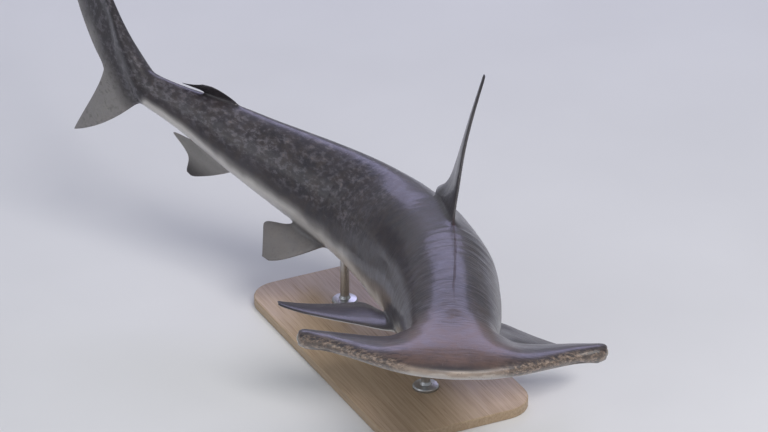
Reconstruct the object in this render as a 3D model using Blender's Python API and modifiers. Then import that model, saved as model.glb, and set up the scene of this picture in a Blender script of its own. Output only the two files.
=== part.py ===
"""A smooth hammerhead shark, life size, as a still display model on a plain stand.

Units are metres, +Z is up. The head faces -Y and the animal's left flank is +X.
The body is drawn straight first, nose at the origin, as rings of points whose
height and width follow named curves. The rings are then carried along a bent
and twisted spine line, which gives the swimming curve of the animal, and the
whole is parted into head, trunk lengths, tail and fins by thin cuts.
"""
import math

import bmesh
import bpy
import numpy as np
from mathutils import Matrix, Vector


# ---------------------------------------------------------------- sizes, metres
TL = 2.90                  # stretched total length
HALF_HEAD = 0.4125         # half the width across the hammer
RING = 32                  # points round each trunk section
SIDE_CELLS = 6             # cells round the side where the hammer meets the neck

EYE_Y = 0.193              # eye centre behind the snout tip


def pct(v):
    return v * TL / 100.0


def smooth(t):
    t = min(1.0, max(0.0, t))
    return t * t * (3 - 2 * t)


def curve(xs, ys):
    """Monotone cubic through the profile stations xs -> ys."""
    xs, ys = np.asarray(xs, float), np.asarray(ys, float)
    h = np.diff(xs)
    d = np.diff(ys) / h
    m = np.zeros_like(ys)
    for k in range(1, len(xs) - 1):
        if d[k - 1] * d[k] > 0:
            w1, w2 = 2 * h[k] + h[k - 1], h[k] + 2 * h[k - 1]
            m[k] = (w1 + w2) / (w1 / d[k - 1] + w2 / d[k])
    m[0], m[-1] = d[0], d[-1]

    def f(x):
        x = min(max(x, xs[0]), xs[-1])
        k = int(min(max(np.searchsorted(xs, x) - 1, 0), len(xs) - 2))
        t = (x - xs[k]) / h[k]
        a, b = ys[k], ys[k + 1]
        return float(
            a * (2 * t**3 - 3 * t**2 + 1)
            + b * (3 * t**2 - 2 * t**3)
            + h[k] * (m[k] * (t**3 - 2 * t**2 + t) + m[k + 1] * (t**3 - t**2))
        )

    return f


# trunk profile, all in % of total length
ST = [8, 11, 14, 17, 21, 27, 35, 45, 55, 63, 69, 72]
TOPZ = curve(ST, [2.50, 3.30, 4.05, 4.75, 5.45, 6.15, 6.15, 5.35, 4.15, 3.10, 2.15, 1.85])
BOTZ = curve(ST, [-2.05, -2.85, -3.5, -4.1, -4.85, -5.55, -5.75, -5.05, -3.75, -2.5, -1.65, -1.45])
HALFW = curve(ST, [4.35, 4.45, 4.60, 4.85, 5.20, 5.50, 5.45, 4.75, 3.60, 2.50, 1.55, 1.25])


def trunk_point(y, i):
    """Point i of the ring round the trunk at the distance y behind the snout."""
    s = y / TL * 100
    top, bot, hw = pct(TOPZ(s)), pct(BOTZ(s)), pct(HALFW(s))
    zc = 0.5 * (top + bot) - 0.03 * (top - bot)
    th = 2 * math.pi * i / RING
    sn, cs = math.sin(th), math.cos(th)
    n = 2.0 if cs > 0 else 2.25
    r = (abs(sn) ** n + abs(cs) ** n) ** (-1.0 / n)
    x = hw * sn * r
    z = zc + ((top - zc) if cs > 0 else (zc - bot)) * cs * r
    if cs > 0:
        z += 0.006 * hw / 0.15 * cs ** 14
    return np.array([x, y, z])


# ---------------------------------------------------------------- the hammer
LE_Y = curve([0, .05, .10, .15, .20, .25, .295, .320, .335, .355, .375, .395, .4125],
             [0, .0032, .0135, .0325, .0575, .0860, .1130, .1290, .1365, .1425, .1480, .1560, .1720])
TE_Y = curve([.118, .136, .150, .170, .200, .250, .300, .350, .385, .400, .4125],
             [.298, .279, .266, .256, .249, .2445, .242, .240, .235, .226, .210])
WING_T = curve([0, .10, .16, .22, .30, .35, .385, .4125], [.060, .060, .056, .050, .045, .045, .050, .052])
WING_Z = curve([0, .10, .17, .225, .285, .35, .4125], [0, .002, .006, .010, .016, .020, .022])
MID_TOP = curve([0, .006, .02, .06, .12, .18, .245], [0, .0115, .0205, .0360, .0520, .0640, .0760])
MID_BOT = curve([0, .006, .02, .06, .12, .20, .27, .345], [0, -.0105, -.0175, -.0285, -.0400, -.0530, -.0650, -.0840])
MOUTH_HALF = 0.100         # half the width between the corners of the mouth
MOUTH_Y = 0.186            # front of the mouth behind the snout tip


def mouth_y(x):
    return MOUTH_Y + 0.093 * (abs(x) / MOUTH_HALF) ** 2.1


def wing_profile(q):
    if q < 0.4:
        return math.sqrt(max(0.0, 1 - (1 - q / 0.4) ** 2.4))
    return 1 - 0.52 * ((q - 0.4) / 0.6) ** 1.6


def head_z(x, y, up):
    """Height of the hammer's upper (up=1) or lower (up=-1) face."""
    ax = abs(x)
    le, te = LE_Y(ax), TE_Y(max(ax, .165))
    q = (y - le) / (te - le)
    t = WING_T(ax) * (0.54 if up > 0 else 0.46)
    z = WING_Z(ax) + up * t * wing_profile(min(1, max(0, q)))
    mid = MID_TOP(y) if up > 0 else MID_BOT(y)
    q0 = y / .243
    z0 = WING_Z(0) + up * WING_T(0) * (0.54 if up > 0 else 0.46) * wing_profile(min(1, max(0, q0)))
    wide = 0.172 + 0.10 * smooth(1 - y / .22)
    r = min(1.0, ax / wide)
    return z + (mid - z0) * (1 - r ** 3) ** 2


# rings that close each tip of the hammer: x, scale or radius, how round (1 = a true circle of that radius)
TIP_RINGS = [(.3905, .965, .10), (.3970, .880, .35), (.4030, .760, .75), (.4074, .0226, 1), (.4099, .0190, 1),
             (.4102, .0167, 1), (.4080, .0150, 1), (.4010, .0202, 1), (.3900, .0182, 1), (.3828, .0098, 1)]
EYE_X, EYE_RX, EYE_RYZ = .3990, .0145, .0180


def blade(f):
    """Thickness of a fin along its chord, 0 at both edges and 1 at its fullest."""
    return math.sqrt(f) * (1 - f) ** 1.1 * 1.95 if 0 < f < 1 else 0.0


class Cage:
    def __init__(self):
        self.v, self.f, self.rig, self.tag = [], [], [], []

    def add(self, p, rig=None):
        self.v.append(np.array(p, float))
        self.rig.append(rig)
        return len(self.v) - 1

    def face(self, *ids, tag="body"):
        out = []
        for a in ids:
            if a not in out:
                out.append(a)
        if len(out) > 2:
            self.f.append(tuple(out))
            self.tag.append(tag)


def build(det):
    """The whole skin as one closed cage of quads, straight, nose at the origin.

    X runs to the animal's left, Y back along the body, Z up.
    """
    c = Cage()
    xs = [trunk_point(.262, i)[0] for i in range(6)] + det["wing"]
    ns = len(xs) - 1
    top, low = det["top"], det["low"]
    nt, nb = len(top) - 1, len(low)
    m = nt + SIDE_CELLS + nb
    side_y = [.245, .261, .272, .281, .290, .301, .318]
    rear_low = [.340, .3390, .3365, .3325, .3265, .318]

    def low_y(x, k):
        kind, mid, out = low[k]
        ax = abs(x)
        le, te = LE_Y(ax), TE_Y(max(ax, .136))
        if kind == "near":
            return le + mid
        outer = le + out * (te - le)
        if ax >= .16:
            return outer
        xx = min(ax, .107)
        lip = mouth_y(xx)
        rear = rear_low[0] - .022 * (xx / .107) ** 2
        if kind == "rear":
            y = rear + (lip + .017 - rear) * mid
        elif kind == "lip":
            y = lip + mid * (1 - .45 * smooth((xx - .055) / .05) * (abs(mid) < .01))
        else:
            y = le + (lip - .017 - le) * mid
        w = smooth((ax - .107) / (.16 - .107))
        return y * (1 - w) + outer * w

    W = {}
    for s in range(-ns, ns + 1):
        ax, sg = xs[abs(s)], (1 if s >= 0 else -1)
        le, te = LE_Y(ax), TE_Y(max(ax, .13))
        inside = abs(s) <= 5
        for j in range(m):
            if inside and nt < j < nt + SIDE_CELLS and abs(s) < 5:
                continue
            if j == 0:
                p = (sg * ax, le, WING_Z(ax))
            elif j <= nt:
                end = (side_y[0]) if inside else le + .94 * (te - le)
                y = le + top[j] * (end - le)
                p = (sg * ax, y, head_z(ax, y, 1))
            elif j < nt + SIDE_CELLS:
                k = j - nt
                if inside:
                    i = 5 + k
                    q = trunk_point(side_y[k], i)
                    p = (sg * q[0], side_y[k], q[2])
                else:
                    a = math.pi * k / SIDE_CELLS
                    zt = head_z(ax, le + .94 * (te - le), 1)
                    zb = head_z(ax, le + .94 * (te - le), -1)
                    yy = le + .94 * (te - le) + .06 * (te - le) * math.sin(a)
                    p = (sg * ax, yy, (zt + zb) / 2 + (zt - zb) / 2 * math.cos(a))
            else:
                k = j - nt - SIDE_CELLS
                y = low_y(ax, k)
                z = head_z(ax, y, -1)
                p = (sg * ax, y, z)
            W[s, j] = c.add(p)
    for s in range(-ns, ns):
        for j in range(m):
            if -5 <= s < 5 and nt <= j < nt + SIDE_CELLS:
                continue
            c.face(W[s, j], W[s + 1, j], W[s + 1, (j + 1) % m], W[s, (j + 1) % m], tag="head")
    # the tips: each closes round an eye into a shallow socket
    half = nt + SIDE_CELLS // 2
    for sg in (1, -1):
        prev = [W[sg * ns, j] for j in range(m)]
        ez = WING_Z(HALF_HEAD) + .0015
        for x, r, turn in TIP_RINGS:
            ids = []
            for j in range(m):
                a = math.pi * j / half if j <= half else math.pi + math.pi * (j - half) / (m - half)
                w = c.v[W[sg * ns, j]]
                if r < 1 and turn < 1:
                    flat = np.array([sg * x, EYE_Y + (w[1] - EYE_Y) * r, ez + (w[2] - ez) * r])
                    ring = np.array([sg * x, EYE_Y - .036 * r * math.cos(a), ez + .036 * r * math.sin(a)])
                    p = ring * turn + flat * (1 - turn)
                else:
                    p = np.array([sg * x, EYE_Y - r * math.cos(a), ez + r * math.sin(a)])
                ids.append(c.add(p))
            for j in range(m):
                a, b = j, (j + 1) % m
                if sg > 0:
                    c.face(prev[a], ids[a], ids[b], prev[b], tag="head")
                else:
                    c.face(ids[a], prev[a], prev[b], ids[b], tag="head")
            prev = ids
        end = c.add([sg * (TIP_RINGS[-1][0] - .0007), EYE_Y, ez])
        for j in range(m):
            a, b = prev[j], prev[(j + 1) % m]
            if sg > 0:
                c.face(a, end, b, tag="head")
            else:
                c.face(end, a, b, tag="head")

    # ------------------------------------------------------------ the trunk
    ring0 = []
    for i in range(RING):
        if i <= 5:
            ring0.append(W[i, nt])
        elif i < 11:
            ring0.append(W[5, nt + i - 5])
        elif i <= 21:
            ring0.append(W[16 - i, nt + SIDE_CELLS])
        elif i < 27:
            ring0.append(W[-5, nt + 27 - i])
        else:
            ring0.append(W[i - 32, nt])
    rows = [ring0]
    stations = []          # (position in % TL, groove depth weight, slant top, slant bottom)
    for a, b in det["neck"]:
        stations.append(("neck", a, b))
    for n, s in enumerate(GILLS):
        for off, lift in det["gill"]:
            stations.append(("gill", s + off, lift * (1, 1, 1, .95, .8)[n]))
    marks = {}

    def run(name, values):
        if name:
            marks[name] = len(stations) + 1
        for v in values:
            stations.append(("plain", v, 0))
        if name:
            marks[name + "_end"] = len(stations)

    for name, values in det["runs"]:
        run(name, values)
    marks["second"] = marks["anal"] + det["second"][0]
    marks["second_end"] = marks["anal_end"] + det["second"][1]
    for st in stations:
        row = []
        for i in range(RING):
            th = 2 * math.pi * i / RING
            if st[0] == "neck":
                y = st[1] + (st[2] - st[1]) * (1 - math.cos(th)) / 2
                p = trunk_point(y, i)
            else:
                y = pct(st[1])
                k = i if i <= 16 else 32 - i
                if st[0] == "gill":
                    y += .0035 * (8.5 - min(11, max(6, k)))
                p = trunk_point(y, i)
                if st[0] == "gill" and st[2]:
                    w = {7: .45, 8: 1, 9: 1, 10: .55}.get(k, 0)
                    if st[1] > 20:
                        w = {7: .6, 8: 1, 9: .75, 10: .15}.get(k, 0)
                    n = np.array([math.sin(th), 0, math.cos(th)])
                    p = p + n * st[2] * w
                if 71.0 < st[1] < 72 and k == 0:
                    p = p - np.array([0, 0, .004])
            row.append(c.add(p))
        rows.append(row)
    cut = set()

    def hole(name, mid, half, flare=.003):
        """Opens the grid for a fin and narrows the opening to the outline of the fin's root."""
        a, b = marks[name], marks[name + "_end"]
        y0, y1 = c.v[rows[a][mid % RING]][1], c.v[rows[b][mid % RING]][1]
        for k in range(a, b + 1):
            if k < b:
                cut.add((k, (mid - 1) % RING))
                cut.add((k, mid % RING))
            y = c.v[rows[k][mid % RING]][1]
            q = (y - y0) / (y1 - y0)
            wide = half * blade(q) + .0050 + .0045 * math.sin(math.pi * q) + flare * smooth(q / .55) * (1 - smooth((q - .84) / .16))
            for e in (-1, 1):
                arc_len = np.linalg.norm(trunk_point(y, mid) - trunk_point(y, mid + e))
                c.v[rows[k][(mid + e) % RING]] = trunk_point(y, mid + e * min(1.0, wide / arc_len))
        up, dn = [rows[k][(mid - 1) % RING] for k in range(a, b + 1)], [rows[k][(mid + 1) % RING] for k in range(a, b + 1)]
        return rows[a][mid % RING], up, rows[b][mid % RING], dn

    holes = {
        "dorsal_fin_first": hole("dorsal", 0, .0150, .012),
        "pectoral_fin_left": hole("pectoral", 11, .0165),
        "pectoral_fin_right": hole("pectoral", 21, .0165),
        "pelvic_fin_left": hole("pelvic", 14, .010),
        "pelvic_fin_right": hole("pelvic", 18, .010),
        "anal_fin": hole("anal", 16, .008),
        "dorsal_fin_second": hole("second", 0, .0075),
    }
    # ------------------------------------------------------------ tail fin, rings that grow into a blade
    D0, D1 = np.array([72.0, 1.86]), np.array([98.1, 13.6])
    tail_dir = (D1 - D0) / np.linalg.norm(D1 - D0)
    tail_nrm = np.array([-tail_dir[1], tail_dir[0]])

    def dorsal(t):
        bow = 0.55 * math.sin(math.pi * t) - 0.55 * math.sin(2 * math.pi * t) * .5
        return D0 + (D1 - D0) * t + tail_nrm * bow * .6

    lobe_tip = np.array([79.2, -9.1])
    fork = np.array([77.5, -.95])
    notch = np.array([93.7, 7.72])
    corner = np.array([96.4, 7.80])
    start = np.array([72.0, -1.46])

    def arc(p, q, t, bow):
        d = q - p
        n = np.array([-d[1], d[0]]) / np.linalg.norm(d)
        return p + d * t + n * bow * 4 * t * (1 - t)

    def ventral(t):
        """0..1 down the front of the lower lobe, 1..2 to the fork, 2..3 to the notch, 3..4 to the corner, 4..5 to the tip"""
        if t <= 1:
            return arc(start, lobe_tip, t, -.75)
        if t <= 2:
            return arc(lobe_tip, fork, t - 1, .80)
        if t <= 3:
            return arc(fork, notch, t - 2, -1.15)
        if t <= 4:
            return arc(notch, corner, t - 3, .15)
        return arc(corner, D1, t - 4, .45)

    for tD, tV in det["tail"]:
        Dp, Vp = dorsal(tD), ventral(tV)
        length = pct(np.linalg.norm(Vp - Dp))
        core = pct(3.35 + (.9 - 3.35) * min(1, tD / .62) ** .8) if tD < .62 else pct(.9 - .6 * (tD - .62) / .38)
        corew = pct(1.22 * (1 - smooth(tD / .34)) ** 1.0 * .72 + .30 * (1 - min(1, tD)) + .045)
        web = .0052 - .0028 * smooth(tD / .8)
        row = []
        sharp = smooth(tD / .12)
        for i in range(RING):
            k = i if i <= 16 else 32 - i
            sg = 1 if i <= 16 else -1
            u = (1 - math.cos(math.pi * k / 16)) / 2
            # near the stalk the ring stays round the flesh, further on it spreads over the blade
            P = Dp + (Vp - Dp) * u
            d = u * length
            q = d / core
            th = 0.0
            if 0 < q < 1:
                th = corew * math.sqrt(q) * 2.0 * (1 - q) ** (.5 + .8 * sharp) * (1 + .25 * sharp)
            edge = (1 - abs(2 * u - 1) ** 6) ** .5
            thin = web * edge * (1 - .45 * smooth((d - core) / .16))
            th = max(th, 0) + thin * (1 if k not in (0, 16) else 0)
            if k in (0, 16):
                th = 0
            row.append(c.add([sg * th, pct(P[0]), pct(P[1])]))
        rows.append(row)
    for k in range(len(rows) - 1):
        for i in range(RING):
            if (k, i) in cut:
                continue
            tag = "trunk" if k < len(stations) else "caudal"
            c.face(rows[k][i], rows[k][(i + 1) % RING], rows[k + 1][(i + 1) % RING], rows[k + 1][i], tag=tag)
    last = rows[-1]
    for i in range(0, 16):
        c.face(last[i], last[i + 1], last[(32 - i - 1) % 32], last[(32 - i) % 32], tag="caudal")

    # ------------------------------------------------------------ the other fins
    def fin(name, sections, half_root, half_tip, place, anchor, tag, lean=0.0, twist=0.0, curl=2.3):
        """sections: (front y, front reach, rear y, rear reach) in % TL; place(y, reach, off) gives the point; twist in degrees."""
        le, up, te, dn = holes[name]
        n = len(up)
        ys = np.array([c.v[a][1] for a in up])
        q = (ys - ys[0]) / (ys[-1] - ys[0])
        q = .022 + q * (.972 - .022)
        prev = [le] + up + [te] + dn[::-1]
        reach, rear = max(s[1] for s in sections), 100 * ys[-1] / TL
        for a in prev:
            if c.rig[a] is None:
                c.rig[a] = (anchor, 0.0)
        for si, (y0, h0, y1, h1) in enumerate(sections):
            span = h0 / reach
            t = half_root + (half_tip - half_root) * span ** .75
            if si == 0:
                t *= 1.06
            ids = []

            def point(f, side):
                y, h = y0 + (y1 - y0) * f, h0 + (h1 - h0) * f
                off = side * (t * blade(f) + .0016) + math.radians(twist) * smooth((h0 - .6) / 3.4) * pct(y - y0)
                w = max(smooth((h / reach - .03) / .42), smooth((y - rear) / 1.8))
                return c.add(place(pct(y), pct(h), off + lean * span ** curl), rig=(anchor, w))

            ids.append(point(0, 0))
            ids += [point(f, 1) for f in q]
            ids.append(point(1, 0))
            ids += [point(f, -1) for f in q[::-1]]
            L = len(ids)
            for a in range(L):
                b = (a + 1) % L
                c.face(prev[a], prev[b], ids[b], ids[a], tag=tag)
            prev = ids
        # close the outer edge
        ups, dns = prev[1:n + 1], prev[n + 2:][::-1]
        c.face(prev[0], ups[0], dns[0], tag=tag)
        for a in range(n - 1):
            c.face(ups[a], ups[a + 1], dns[a + 1], dns[a], tag=tag)
        c.face(ups[-1], prev[n + 1], dns[-1], tag=tag)

    def upright(sign):
        def place(y, h, off):
            base = trunk_point(min(y, pct(71.5)), 0 if sign > 0 else 16)[2]
            return [off * (-1 if sign > 0 else 1), y, base + sign * h]
        return place

    def sideways(i, droop, sgn, y_mid):
        g = math.radians(droop)
        b = trunk_point(pct(y_mid), i)

        def place(y, h, off):
            off = off * sgn
            return [sgn * (b[0] + h * math.cos(g) + off * math.sin(g)), y, b[2] - h * math.sin(g) + off * math.cos(g)]
        return place

    D1S = [(27.3, .40, 35.95, .30), (27.85, 1.1, 37.3, .50), (28.4, 2.0, 38.2, .68), (28.8, 2.8, 37.2, 1.15), (29.7, 4.1, 36.2, 2.5),
           (30.9, 6.0, 35.8, 4.8), (32.2, 7.95, 35.5, 7.1), (33.6, 9.9, 35.85, 9.4), (34.8, 11.3, 36.5, 11.05),
           (35.65, 12.15, 36.9, 12.05), (36.3, 12.55, 37.05, 12.5)]
    fin("dorsal_fin_first", D1S, .0128, .0032, upright(1), pct(27.8), "dorsal_fin_first", lean=-.057, twist=-9.2, curl=2.4)
    PS = [(21.45, .55, 26.7, .45), (21.8, 1.3, 28.1, 1.15), (22.2, 2.1, 29.6, 1.95), (22.7, 2.95, 29.6, 2.85), (23.5, 4.4, 29.1, 4.3),
          (24.5, 6.1, 28.8, 6.0), (25.6, 7.7, 28.8, 7.6), (26.8, 9.05, 29.05, 9.0), (27.7, 9.85, 29.3, 9.85), (28.4, 10.3, 29.45, 10.3)]
    VS = [(47.55, .45, 52.3, .3), (48.0, 1.05, 53.6, .75), (48.5, 1.7, 54.5, 1.2), (49.1, 2.5, 53.9, 2.0), (50.0, 3.6, 53.0, 3.3),
          (50.8, 4.3, 52.4, 4.15), (51.35, 4.6, 52.15, 4.55)]
    for side, sgn, droop in (("left", 1, 12), ("right", -1, 7)):
        fin("pectoral_fin_" + side, PS, .0165, .003, sideways(11, droop, sgn, 23.7), pct(23.7), "pectoral_fin_" + side)
        fin("pelvic_fin_" + side, VS, .010, .0025, sideways(14, 46, sgn, 49.4), pct(49.4), "pelvic_fin_" + side)
    AS = [(60.3, .35, 65.5, .25), (60.8, .9, 66.9, .5), (61.3, 1.35, 67.9, .8), (61.8, 1.8, 66.6, 1.1), (62.5, 2.35, 65.0, 1.65),
          (63.1, 2.8, 64.8, 2.4), (63.6, 3.15, 64.7, 3.0), (64.0, 3.3, 64.55, 3.25)]
    fin("anal_fin", AS, .008, .0022, upright(-1), pct(62.6), "anal_fin")
    SS = [(62.5, .27, 66.2, .24), (63.0, .54, 67.6, .30), (63.6, .82, 68.8, .36), (64.1, 1.03, 67.7, .58), (64.7, 1.19, 66.7, .90), (65.2, 1.26, 66.15, 1.18)]
    fin("dorsal_fin_second", SS, .0075, .0022, upright(1), pct(64.1), "dorsal_fin_second", lean=.034, curl=1.35)
    return c


GILLS = (16.1, 17.25, 18.4, 19.5, 20.5)

# how finely the outline is divided
OUTLINE = {
    "wing": [.136, .165, .20, .24, .28, .31, .335, .36, .385],
    "top": [0, .05, .18, .38, .60, .82, 1.0],
    "low": [("rear", 0, .94), ("rear", .5, .80), ("lip", 0, .60), ("front", .66, .42), ("front", .32, .22), ("near", .012, .012)],
    "neck": [(.300, .376), (.360, .418)],
    "gill": [(0, 0)],
    "runs": [("pectoral", [21.2, 22.4, 23.7, 25.0, 26.2]),
             ("dorsal", [26.6, 28.1, 29.9, 31.9, 33.7, 34.9, 35.5]),
             (None, [38.3, 41.7, 44.7]),
             ("pelvic", [47.2, 48.6, 50.2, 51.6]),
             (None, [54.2, 57.0]),
             ("anal", [59.9, 60.9, 62.2, 63.8, 65.2]),
             (None, [66.1, 67.9]),
             (None, [69.7, 71.4])],
    "second": (2, 1),
    "tail": [(.022, .14), (.052, .42), (.087, .72), (.122, .95), (.140, 1.02), (.172, 1.22), (.222, 1.62), (.285, 2.0), (.362, 2.27),
             (.462, 2.58), (.562, 2.86), (.630, 3.0), (.672, 3.65), (.705, 4.0), (.785, 4.25), (.88, 4.55), (.985, 4.94)],
}

# ---------------------------------------------------------------- pose
# side bend towards the right flank and twist towards the left flank, degrees per metre
BEND = curve([0, 10, 15, 20, 24, 27, 30.5, 34, 38, 42, 50, 60, 66, 71, 77, 83, 100],
             [0, 0, 22, 6, 36.7, 30, 41.7, 63.9, 63.9, 142.2, 63.7, -25.6, 48.4, -120.2, -106, -11, 0])
TWIST = curve([0, 10, 15, 20, 27, 36, 50, 64, 76, 90, 100], [0, 0, 23, 19, 22.9, 4.2, 3.6, -6.4, -17, -4, 0])
NOSE_UP, HEAD_ROLL = 11.8, 2.9
# upward bend of the middle of the body, degrees per metre
ARCH = ((20, 28, 38, 50, 60), (10.5, -6.8, 28.6, .6, 10.5))


def spine(n=400):
    """Frames (point, left, back, up) down the bent body axis."""
    ds = TL / n
    a, r = math.radians(NOSE_UP), math.radians(HEAD_ROLL)
    P = np.zeros(3)
    T = np.array([0, math.cos(a), -math.sin(a)])
    L = np.array([1.0, 0, 0])
    U = np.cross(L, T)
    L, U = L * math.cos(r) - U * math.sin(r), U * math.cos(r) + L * math.sin(r)
    out = []
    for k in range(n + 1):
        s = 100.0 * k / n
        out.append((P, L, T, U))
        b, t = math.radians(BEND(s) * ds), math.radians(TWIST(s) * ds)
        a = math.radians(float(np.interp(s, *ARCH)) * ds) if 20 < s < 60 else 0.0
        T, L = T * math.cos(b) - L * math.sin(b), L * math.cos(b) + T * math.sin(b)
        T, U = T * math.cos(a) + U * math.sin(a), U * math.cos(a) - T * math.sin(a)
        L, U = L * math.cos(t) - U * math.sin(t), U * math.cos(t) + L * math.sin(t)
        P = P + T * ds
    return out


def frame_at(tab, y):
    n = len(tab) - 1
    t = min(max(y / TL, 0), 1) * n
    k = min(int(t), n - 1)
    w = t - k
    P, L, T, U = (tab[k][j] * (1 - w) + tab[k + 1][j] * w for j in range(4))
    return P + T * (y - min(max(y, 0), TL)), L, T, U


def pose(c):
    tab = spine()
    out = []
    for v, rig in zip(c.v, c.rig):
        P, L, T, U = frame_at(tab, v[1])
        p = P + L * v[0] + U * v[2]
        if rig and rig[1] > 0:
            P, L, T, U = frame_at(tab, rig[0])
            r = P + L * v[0] + U * v[2] + T * (v[1] - rig[0])
            p = p * (1 - rig[1]) + r * rig[1]
        out.append(p)
    return np.array(out)


# ---------------------------------------------------------------- placing and parting
GAP = 0.0003               # clear gap between neighbouring pieces
KERF = 0.0004              # width of a parting cut
NOSE_Z = 0.49              # height of the snout above the ground
STAND_AT = (-0.167, 0.989) # middle of the stand behind and beside the snout
STAND_TURN = 26.0          # direction of the stand's long side, degrees from -Y towards -X
BASE_LONG, BASE_WIDE, BASE_THICK = 0.96, 0.46, 0.028
ROD_R = 0.013
RODS = {"stand_rod_front": 27.5, "stand_rod_rear": 46.0}     # place along the body, % of length

SKIN = (0.115, 0.105, 0.110)
PARTS = {
    "head": ((0.125, 0.108, 0.108), 0.36, 0.0),
    "trunk_front": (SKIN, 0.38, 0.0),
    "trunk_middle": (SKIN, 0.38, 0.0),
    "tail_stalk": (SKIN, 0.38, 0.0),
    "caudal_fin": ((0.095, 0.090, 0.100), 0.40, 0.0),
    "dorsal_fin_first": ((0.095, 0.090, 0.100), 0.40, 0.0),
    "dorsal_fin_second": ((0.095, 0.090, 0.100), 0.40, 0.0),
    "anal_fin": ((0.130, 0.125, 0.130), 0.40, 0.0),
    "pectoral_fin_left": ((0.110, 0.102, 0.108), 0.40, 0.0),
    "pectoral_fin_right": ((0.110, 0.102, 0.108), 0.40, 0.0),
    "pelvic_fin_left": ((0.120, 0.112, 0.116), 0.40, 0.0),
    "pelvic_fin_right": ((0.120, 0.112, 0.116), 0.40, 0.0),
    "eye_left": ((0.020, 0.018, 0.016), 0.08, 0.0),
    "eye_right": ((0.020, 0.018, 0.016), 0.08, 0.0),
    "stand_base": ((0.46, 0.335, 0.22), 0.45, 0.0),
    "stand_rod_front": ((0.56, 0.57, 0.58), 0.28, 1.0),
    "stand_rod_rear": ((0.56, 0.57, 0.58), 0.28, 1.0),
}
# cross cuts through the body, % of length, with the piece in front of each
CUTS = ((20.84, "head"), (42.2, "trunk_front"), (57.8, "trunk_middle"), (71.15, "tail_stalk"))
# cuts through the fin roots: first and last place in % of length, ring point, height over the skin, half width
ROOTS = {
    "dorsal_fin_first": (26.7, 37.2, 0, .0115, .050),
    "dorsal_fin_second": (61.9, 68.3, 0, .0068, .030),
    "anal_fin": (59.6, 66.5, 16, .0075, .030),
    "pectoral_fin_left": (21.05, 27.2, 11, .0120, .045),
    "pectoral_fin_right": (21.05, 27.7, 21, .0120, .045),
    "pelvic_fin_left": (46.9, 52.8, 14, .0080, .032),
    "pelvic_fin_right": (46.9, 52.8, 18, .0080, .032),
}
ORIGIN = Vector((-STAND_AT[0], -STAND_AT[1], NOSE_Z))


def material(name):
    colour, rough, metal = PARTS[name]
    mat = bpy.data.materials.new(name)
    mat.use_nodes = True
    node = mat.node_tree.nodes["Principled BSDF"]
    node.inputs["Base Color"].default_value = (*colour, 1)
    node.inputs["Roughness"].default_value = rough
    node.inputs["Metallic"].default_value = metal
    mat.diffuse_color = (*colour, 1)
    return mat


def new_object(name, mesh, collection):
    ob = bpy.data.objects.new(name, mesh)
    collection.objects.link(ob)
    return ob


def evaluated(ob, name):
    """The mesh of an object with its modifiers applied, in world space."""
    dg = bpy.context.evaluated_depsgraph_get()
    me = bpy.data.meshes.new_from_object(ob.evaluated_get(dg))
    me.transform(ob.matrix_world)
    me.name = name
    return me


def slab(bm, centre, along, out, half_long, half_wide):
    """One thin box whose flat side faces `out`."""
    across = out.cross(along).normalized()
    turn = Matrix((along.normalized(), across, out.normalized())).transposed().to_4x4()
    size = Matrix.Diagonal((2 * half_long, 2 * half_wide, KERF, 1))
    bmesh.ops.create_cube(bm, size=1.0, matrix=Matrix.Translation(centre) @ turn @ size)


def drop(ob):
    me = ob.data
    bpy.data.objects.remove(ob)
    if me.users == 0:
        bpy.data.meshes.remove(me)


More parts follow.
